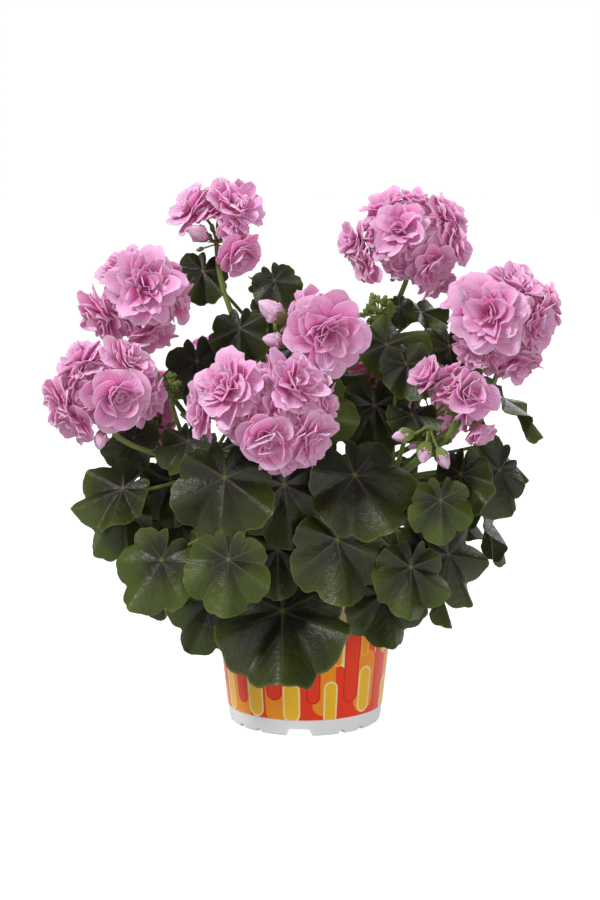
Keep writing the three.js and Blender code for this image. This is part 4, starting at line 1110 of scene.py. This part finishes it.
# share of the floret's radius, leans at foot and tip, petals, width share, cup, ruffle, fold
petalWhorls = {
    "full": [(1.08, 68, 114, 7, 0.72, -0.04, 0.06, 0.08), (1.12, 54, 94, 8, 0.66, 0.06, 0.06, 0.1),
             (1.04, 40, 78, 9, 0.54, 0.12, 0.08, 0.16), (0.94, 28, 60, 9, 0.46, 0.2, 0.09, 0.22),
             (0.8, 12, 38, 7, 0.38, 0.3, 0.1, 0.28)],
    "loose": [(1.08, 62, 112, 6, 0.78, -0.04, 0.06, 0.1), (1.12, 46, 90, 7, 0.72, 0.1, 0.07, 0.12),
              (1.0, 30, 66, 6, 0.54, 0.18, 0.08, 0.2), (0.76, 12, 38, 5, 0.42, 0.34, 0.1, 0.26)],
    "rose": [(1.06, 62, 104, 5, 1.0, 0.04, 0.05, 0.08), (1.06, 48, 82, 6, 0.96, 0.2, 0.05, 0.08),
             (0.92, 36, 54, 6, 0.84, 0.36, 0.04, 0.06), (0.8, 26, 32, 5, 0.74, 0.5, 0.04, 0.05),
             (0.66, 16, 8, 4, 0.6, 0.7, 0.04, 0.04), (0.52, 8, -8, 3, 0.46, 0.85, 0.03, 0.04)],
    "cup": [(1.16, 44, 70, 5, 0.92, 0.2, 0.06, 0.08), (1.14, 30, 52, 5, 0.86, 0.3, 0.06, 0.1),
            (0.98, 18, 36, 4, 0.7, 0.4, 0.07, 0.14), (0.8, 8, 20, 3, 0.5, 0.5, 0.08, 0.2)],
    "filler": [(1.14, 56, 104, 7, 0.7, 0.0, 0.07, 0.14), (1.08, 38, 78, 7, 0.6, 0.1, 0.08, 0.2),
               (0.9, 16, 48, 6, 0.48, 0.24, 0.1, 0.26)],
}


def room(floret, spot):
    return ((spot - floret["face"]) ** 2).sum() - floret["radius"] ** 2


def pressed(floret, own, point):
    # how far a petal may reach before it meets the next floret's petals
    share = 1.0
    for other in own:
        if other is not floret:
            gap = 0.8 * np.linalg.norm(floret["face"] - other["face"])
            atRoot = room(floret, floret["root"]) - room(other, floret["root"]) + gap
            atPoint = room(floret, point) - room(other, point) + gap
            if atRoot < 0 < atPoint:
                share = min(share, atRoot / (atRoot - atPoint))
    return share


floretShape = {"bend": {"thickness": 0.42, "claw": 0.18, "tipWidth": 0.86, "widest": 0.74}, "closer": 26}


def floretCopies(floret, own, kind):
    copies = []
    frameOf = (floret["root"], floret["side"], floret["cross"], floret["axis"])
    for level, (reach, foot, tip, count, wide, cup, ruffle, fold) in enumerate(petalWhorls[kind]):
        offset = chance.uniform(0, 1) if level == 0 else offset + 0.5
        fine = level < 2 and kind != "filler" or level < 3 and kind == "rose"
        form = petalForm if fine else innerForm
        for i in range(count):
            turn = circle * (i + offset + chance.uniform(-0.3, 0.3)) / count
            length = reach * floret["radius"] * chance.uniform(0.8, 1.08)
            lean = (foot + chance.uniform(-13, 13), tip + chance.uniform(-26, 18))
            middle = math.radians((lean[0] + lean[1]) / 2)
            outward = floret["side"] * math.cos(turn) + floret["cross"] * math.sin(turn)
            end = floret["root"] + length * (outward * math.sin(middle) + floret["axis"] * math.cos(middle))
            share = pressed(floret, own, end)
            closer = (1 - share) * floretShape["closer"]
            lean = (max(lean[0] - closer, 3), max(lean[1] - 1.3 * closer, 4 if tip > 0 else tip))
            length *= 0.84 + 0.16 * share
            points = bentStrip(
                form, frameOf, turn, length, wide * floret["radius"] * chance.uniform(0.85, 1.15), lean,
                cup * chance.uniform(0.2, 1.8), ruffle * chance.uniform(0.4, 1.6), chance.uniform(0, 6.3),
                blunt=chance.uniform(0.13, 0.26), fold=fold * chance.uniform(0.2, 1.8),
                twist=chance.uniform(-0.45, 0.45), notch=max(0, chance.uniform(-0.06, 0.08)),
                **floretShape["bend"])
            tone = np.clip(0.5 + 0.15 * (1.6 - level) + chance.uniform(-0.45, 0.45), 0, 1)
            copies.append({"form": form, "points": points, "maps": {"petal": form["map"]},
                           "values": {"tone": np.full(len(points), tone), "under": form["back"]}})
    return copies


def fillersOf(head):
    # small florets that close the gaps between neighbours
    own, centre = head["florets"], head["centre"]
    found = []
    for i, one in enumerate(own):
        for other in own[:i]:
            apart = np.linalg.norm(one["face"] - other["face"])
            together = one["radius"] + other["radius"]
            offset = (one["face"] + other["face"]) / 2 - centre
            far = np.linalg.norm(offset)
            least = min(np.linalg.norm(floret["face"] - centre) for floret in (one, other))
            if apart > 1.8 * together or far < 0.5 * least:
                continue
            axis = offset / far
            radius = min(16.0, 0.3 * together + 3.5)
            face = centre + axis * (far * 0.92 + 1.5)
            if min(np.linalg.norm(face - floret["face"]) for floret in own + found) < 8:
                continue
            root, side, cross, axis = frameAlong(face - 0.5 * radius * axis, axis)
            found.append({"face": face, "root": root, "axis": axis, "side": side, "cross": cross,
                          "radius": radius})
    return found


pointed = {"claw": 0.55, "widest": 0.35, "tipWidth": 0.06, "blunt": 0.0, "thickness": 0.5, "power": 1.0}


def sepals(frameOf, count, length, width, lean, offset=0.0, blush=0.2, cup=0.3):
    copies = []
    for i in range(count):
        turn = circle * (i + offset + chance.uniform(-0.06, 0.06)) / count
        points = bentStrip(sepalForm, frameOf, turn, length * chance.uniform(0.9, 1.1), width,
                           (lean[0] + chance.uniform(-6, 6), lean[1] + chance.uniform(-10, 10)), cup, 0.02,
                           chance.uniform(0, 6), **pointed)
        values = {"blush": np.full(len(points), blush)}
        copies.append({"form": sepalForm, "points": points, "values": values})
    return copies


def frameAlong(start, axis):
    side = unit(np.cross((axis[2], axis[0], axis[1]), axis))
    return start, side, np.cross(axis, side), axis


def calyx(start, axis, length, width, lean, blush, cup=0.35):
    return sepals(frameAlong(start, axis), 5, length, width, lean, 0.1, blush, cup)


budShape = {
    # length in bud radii, leans at foot and tip, petals
    "whorls": ((2.9, 60, -56, 4), (2.8, 50, -50, 4), (2.5, 38, -40, 3)),
    "bend": {"claw": 0.4, "widest": 0.5, "tipWidth": 0.5, "thickness": 0.4, "power": 1.0},
}


def budPetals(start, axis, radius):
    copies = []
    frameOf = frameAlong(start, axis)
    upper = petalForm["map"] * (1, 0.5) + (0, 0.5)
    for level, (length, foot, tip, count) in enumerate(budShape["whorls"]):
        for i in range(count):
            turn = circle * (i + 0.5 * level + chance.uniform(-0.08, 0.08)) / count
            points = bentStrip(petalForm, frameOf, turn, length * radius, 1.7 * radius, (foot, tip), 0.5,
                               0.012, chance.uniform(0, 6), **budShape["bend"])
            values = {"tone": np.full(len(points), 1.0), "under": np.full(len(points), 0.9)}
            copies.append({"form": petalForm, "points": points, "maps": {"petal": upper}, "values": values})
    return copies


# stalks: one curve with a spline for each, turned into a mesh
stalkShape = {
    "steps": 12, "resolution": 2,
    # radius in mm at the foot and at the end
    "leaf": (1.45, 1.15), "head": (2.1, 1.75), "cluster": (1.8, 1.4), "pinkBud": (0.75, 0.9),
    "tinyBud": (0.5, 0.5), "floret": (0.8, 1.1), "headBud": (0.7, 0.9), "hiddenBud": (0.55, 0.6),
}


def makeStalks(name, routes, node, extra):
    # routes: four curve points and the start and end radius, in mm
    curve = bpy.data.curves.new(name, "CURVE")
    curve.dimensions = "3D"
    curve.bevel_depth = mm
    curve.bevel_resolution = stalkShape["resolution"]
    curve.use_fill_caps = True
    for points, startRadius, endRadius in routes:
        spline = curve.splines.new("BEZIER")
        spline.bezier_points.add(len(points) // 3)
        spline.resolution_u = stalkShape["steps"]
        last = len(points) // 3
        for i, knot in enumerate(spline.bezier_points):
            knot.co = points[3 * i] * mm
            knot.handle_left = points[3 * i - 1] * mm if i else (2 * points[0] - points[1]) * mm
            knot.handle_right = points[3 * i + 1] * mm if i < last else (2 * points[-1] - points[-2]) * mm
            knot.radius = startRadius + (endRadius - startRadius) * i / last
    piece = bpy.data.objects.new(name, curve)
    bpy.context.scene.collection.objects.link(piece)
    only(piece)
    bpy.ops.object.convert(target="MESH")
    piece = bpy.context.object
    openMesh()
    bpy.ops.mesh.remove_doubles(threshold=0.01 * mm)
    closeMesh()
    form = readForm(piece)
    copies = [{"form": form, "points": form["points"] / mm}] + extra(form)
    makePiece(name, copies, "stalks", node, 50)


def thinStalk(base, rising, start, axis, radii, bend=0.3, far=None):
    # a route that leaves its foot along rising and comes in along axis
    if far is None:
        far = np.linalg.norm(start - base)
    return (base, base + rising * bend * far, start - axis * bend * far, start), *radii


def normalsOf(form):
    # rough outward directions of a tube's points, from its faces
    points = form["points"]
    normals = np.zeros_like(points)
    ends = np.append(form["starts"][1:], len(form["corners"]))
    for start, end in zip(form["starts"], ends):
        ring = form["corners"][start:end]
        face = np.cross(points[ring[1]] - points[ring[0]], points[ring[2]] - points[ring[0]])
        normals[ring] += face
    return normals / np.maximum(np.linalg.norm(normals, axis=1), 1e-12)[:, None]


def hairCopy(spot, axis, wide, tall):
    root, side, cross, axis = frameAlong(spot, axis)
    x, y, z = hairForm["points"].T
    points = root + np.outer(x * wide, side) + np.outer(y * wide, cross) + np.outer((z + 0.3) * tall, axis)
    return {"form": hairForm, "points": points}


def hairs(form, count, length, low=0.0):
    # short hairs that stand out from a tube
    normals = normalsOf(form)
    points = form["points"] / mm
    copies = []
    for pick in chance.choice(np.flatnonzero(points[:, 2] > low), count):
        spot = points[pick] + chance.uniform(-0.6, 0.6, 3)
        axis = unit(normals[pick] + chance.uniform(-0.3, 0.3, 3))
        copies.append(hairCopy(spot, axis, 0.07, length * chance.uniform(0.6, 1.3)))
    return copies


def fuzz(middle, radius, count):
    # hairs that stand out all round a bud
    copies = []
    for _ in range(count):
        axis = unit(chance.normal(0, 1, 3))
        copies.append(hairCopy(middle + axis * radius, axis, 0.08, chance.uniform(0.7, 1.3)))
    return copies


def stipules(route, radius):
    # a pair of small pointed leaflets where a stalk leaves its stem
    first, second = route["curve"][:2]
    axis = unit(unit(second - first) + unit(route["curve"][3] - first) * 0.4)
    foot = frameAlong(first + axis * 0.5, axis)
    return sepals(foot, 2, 7 + radius * 1.5, 4.6, (42, 60), chance.uniform(0, 1), 0.35, 0.2)


# the pink cluster, buds in a green knob, hairs on a bud; hairs on a shoot, their length and lowest place
clusterShape = {"pink": 2, "tinyBuds": 5, "fuzz": 40, "stipules": 1.3, "hairs": (900, 0.9, 150)}
stalkCount = 0
for number, stem in enumerate(stems):
    name = f"shoot_{number + 1}"
    leafRoutes = [leaf["route"] for leaf in leaves if leaf["stem"] is stem]
    ownHeads = [route for route in headStalks if route["stem"] is stem]
    ownClusters = [route for route in clusterStalks if route["stem"] is stem]
    routes = [(stem["curve"], plantShape["stemRadius"], plantShape["stemTipRadius"])]
    for kind, found in (("leaf", leafRoutes), ("head", ownHeads), ("cluster", ownClusters)):
        routes += [(route["curve"], *stalkShape[kind]) for route in found]
    stalkCount += len(routes)
    greens = [copy for route in leafRoutes + ownHeads for copy in stipules(route, clusterShape["stipules"])]
    pinkBuds = []
    for order, (route, (place, budValues)) in enumerate(zip(clusterStalks, budClusters)):
        if route["stem"] is not stem:
            continue
        base = np.array(place, float)
        greens += sepals(frameAlong(base, up), 7, 5.5, 2.8, (40, 80), 0.3, 0.2)
        for x, y, z, size in budValues:
            offset = np.array((x, y, z), float)
            axis = unit(offset)
            if order == clusterShape["pink"]:
                start = base + offset - axis * 1.2 * size
                far = np.linalg.norm(offset)
                routes.append(thinStalk(base, up, start, axis, stalkShape["pinkBud"], far=far))
                pinkBuds += budPetals(start, axis, size)
                greens += calyx(start - axis * 0.8, axis, 2.2 * size, 1.3 * size, (78, -30), 0.1)
                greens += fuzz(start + axis * 0.7 * size, 0.85 * size, clusterShape["fuzz"])
                continue
            for _ in range(clusterShape["tinyBuds"]):
                spot = base + offset + unit(chance.normal(0, 1, 3)) * size * chance.uniform(0.3, 0.95)
                axis = unit(spot - base + up * 2)
                tiny = chance.uniform(1.3, 2.0)
                start = spot - axis * 1.4 * tiny
                routes.append(thinStalk(base, up, start, axis, stalkShape["tinyBud"]))
                greens += calyx(start, axis, 3.3 * tiny, 1.8 * tiny, (50, -34), 0.15, 0.5)
                greens += sepals(frameAlong(start, axis), 3, 2.6 * tiny, 1.3 * tiny, (60, 30), 0.6, 0.1, 0.3)
                greens += fuzz(start + axis * 1.3 * tiny, 1.1 * tiny, clusterShape["fuzz"] // 2)

    makeStalks(f"shoot{number + 1}Stalks", routes, name,
               lambda form: greens + hairs(form, *clusterShape["hairs"]))
    if pinkBuds:
        makePiece(f"shoot{number + 1}Buds", pinkBuds, "petals", name, 55)
print("stalks made", stalkCount)

# flower heads: double florets on thin stalks, small ones in the gaps, and buds
headShape = {"hiddenBuds": 6, "small": 20.5, "hairs": (160, 0.7),
             "loose": ("bloom_top_left", "bloom_top_right", "bloom_lower_right")}
floretKinds = {
    "rose": (("bloom_top_left", 2), ("bloom_left", 2), ("bloom_front", 4), ("bloom_side_right", 0),
             ("bloom_back_left", 2)),
    "cup": (("bloom_lower_right", 0), ("bloom_lower_right", 1), ("bloom_lower_right", 2),
            ("bloom_back_right", 3)),
}
for head, route in zip(heads, headStalks):
    name = head["name"]
    label = "".join(word.capitalize() for word in name.split("_")[1:])
    below, base = route["curve"][2:]
    rising = unit(base - below)
    petals = []
    routes = []
    greens = sepals(frameAlong(base - rising * 0.5, rising), 8, 6.5, 3.4, (48, 95), 0.2, 0.45)
    for order, floret in enumerate(head["florets"]):
        loose = name in headShape["loose"] or floret["radius"] < headShape["small"]
        special = [kind for kind, places in floretKinds.items() if (name, order) in places]
        kind = special[0] if special else "loose" if loose else "full"
        petals += floretCopies(floret, head["florets"], kind)
        root, axis = floret["root"], floret["axis"]
        routes.append(thinStalk(base, rising, root - axis * 1.5, axis, stalkShape["floret"], 0.35))
        frameOf = (root - axis * 2.2, floret["side"], floret["cross"], axis)
        greens += sepals(frameOf, 5, 0.4 * floret["radius"] + 2, 4.2, (40, 92), chance.uniform(0, 1), 0.3)
    for floret in fillersOf(head):
        petals += floretCopies(floret, [], "filler")
    for place, size in head["buds"]:
        axis = unit(place - base)
        start = place - axis * 1.3 * size
        routes.append(thinStalk(base, rising, start, axis, stalkShape["headBud"]))
        petals += budPetals(start, axis, size)
        greens += calyx(start - axis * 0.8, axis, 1.5 * size, 0.8 * size, (74, -20), 0.3)
    for _ in range(headShape["hiddenBuds"]):
        axis = unit(rising * chance.uniform(0.1, 1.2) + chance.normal(0, 0.6, 3))
        size = chance.uniform(1.6, 2.6)
        start = base + axis * head["core"] * chance.uniform(0.7, 1.3)
        routes.append(thinStalk(base, axis, start, axis, stalkShape["hiddenBud"]))
        greens += calyx(start, axis, 3.3 * size, 1.6 * size, (46, -36), 0.2, 0.5)
    makePiece(f"head{label}Petals", petals, "petals", name, 55)
    makeStalks(f"head{label}Greens", routes, name,
               lambda form: greens + hairs(form, *headShape["hairs"]))
print("heads made", len(heads))

# white floor and backdrop, soft light and the camera
stageShape = {"floor": 15.0, "backdrop": 11.0, "white": 0.3, "glow": 0.94, "world": 0.27}


def stagePiece(name, white, **constants):
    piece = bpy.context.object
    piece.name = name
    look = Look(f"{name} white", Base_Color=(white, white, white, 1), Emission_Color=(1, 1, 1, 1),
                **constants)
    piece.data.materials.append(look.material)
    return piece


startPiece()
bpy.ops.mesh.primitive_plane_add(size=stageShape["floor"])
floor = stagePiece("floor", stageShape["white"], Roughness=0.9, Specular_IOR_Level=0.1,
                   Emission_Strength=stageShape["glow"])
bpy.ops.mesh.primitive_uv_sphere_add(segments=48, ring_count=24, radius=stageShape["backdrop"])
backdrop = stagePiece("backdrop", 0, Roughness=1.0, Emission_Strength=1.0)
for ray in ("diffuse", "glossy", "transmission", "shadow", "volume_scatter"):
    setattr(backdrop, f"visible_{ray}", False)
floor.visible_diffuse = False

world = bpy.data.worlds.new("studio")
bpy.context.scene.world = world
world.use_nodes = True
background = world.node_tree.nodes["Background"]
background.inputs["Color"].default_value = (1, 1, 1, 1)
background.inputs["Strength"].default_value = stageShape["world"]

# place, size and power of each soft box
lampAim = (0, 0, 0.2)
lamps = {"key": ((-1.3, -1.05, 1.7), 0.5, 46.0), "fill": ((1.3, -1.5, 0.4), 1.0, 10.0),
         "low": ((0.1, -1.9, 0.2), 0.8, 9.0), "top": ((0.1, 0.2, 1.9), 1.0, 7.0),
         "back": ((0.9, 1.5, 1.2), 1.2, 20.0)}


def aimed(spot, aim):
    # turn that points an object's -Z from one place to another
    direction = np.array(aim, float) - np.array(spot, float)
    flat = math.hypot(direction[0], direction[1])
    return math.atan2(flat, -direction[2]), 0, math.atan2(direction[1], direction[0]) - math.pi / 2


for name, (spot, size, power) in lamps.items():
    startPiece()
    bpy.ops.object.light_add(type="AREA", location=spot, rotation=aimed(spot, lampAim))
    lamp = bpy.context.object
    lamp.name = name
    lamp.data.size = size
    lamp.data.energy = power

# the photo's view: aim, distance, height angle and lens
photoView = {"aim": (-0.0035, 0.0, 0.189), "distance": 1.6, "rise": 9.0, "lens": 92.75}
rise = math.radians(photoView["rise"])
spot = (photoView["aim"][0], -photoView["distance"] * math.cos(rise),
        photoView["aim"][2] + photoView["distance"] * math.sin(rise))
bpy.ops.object.camera_add(location=spot, rotation=aimed(spot, photoView["aim"]))
camera = bpy.context.object
camera.data.lens = photoView["lens"]
camera.data.clip_end = 100
bpy.context.scene.camera = camera
bpy.context.scene.view_settings.view_transform = "Standard"
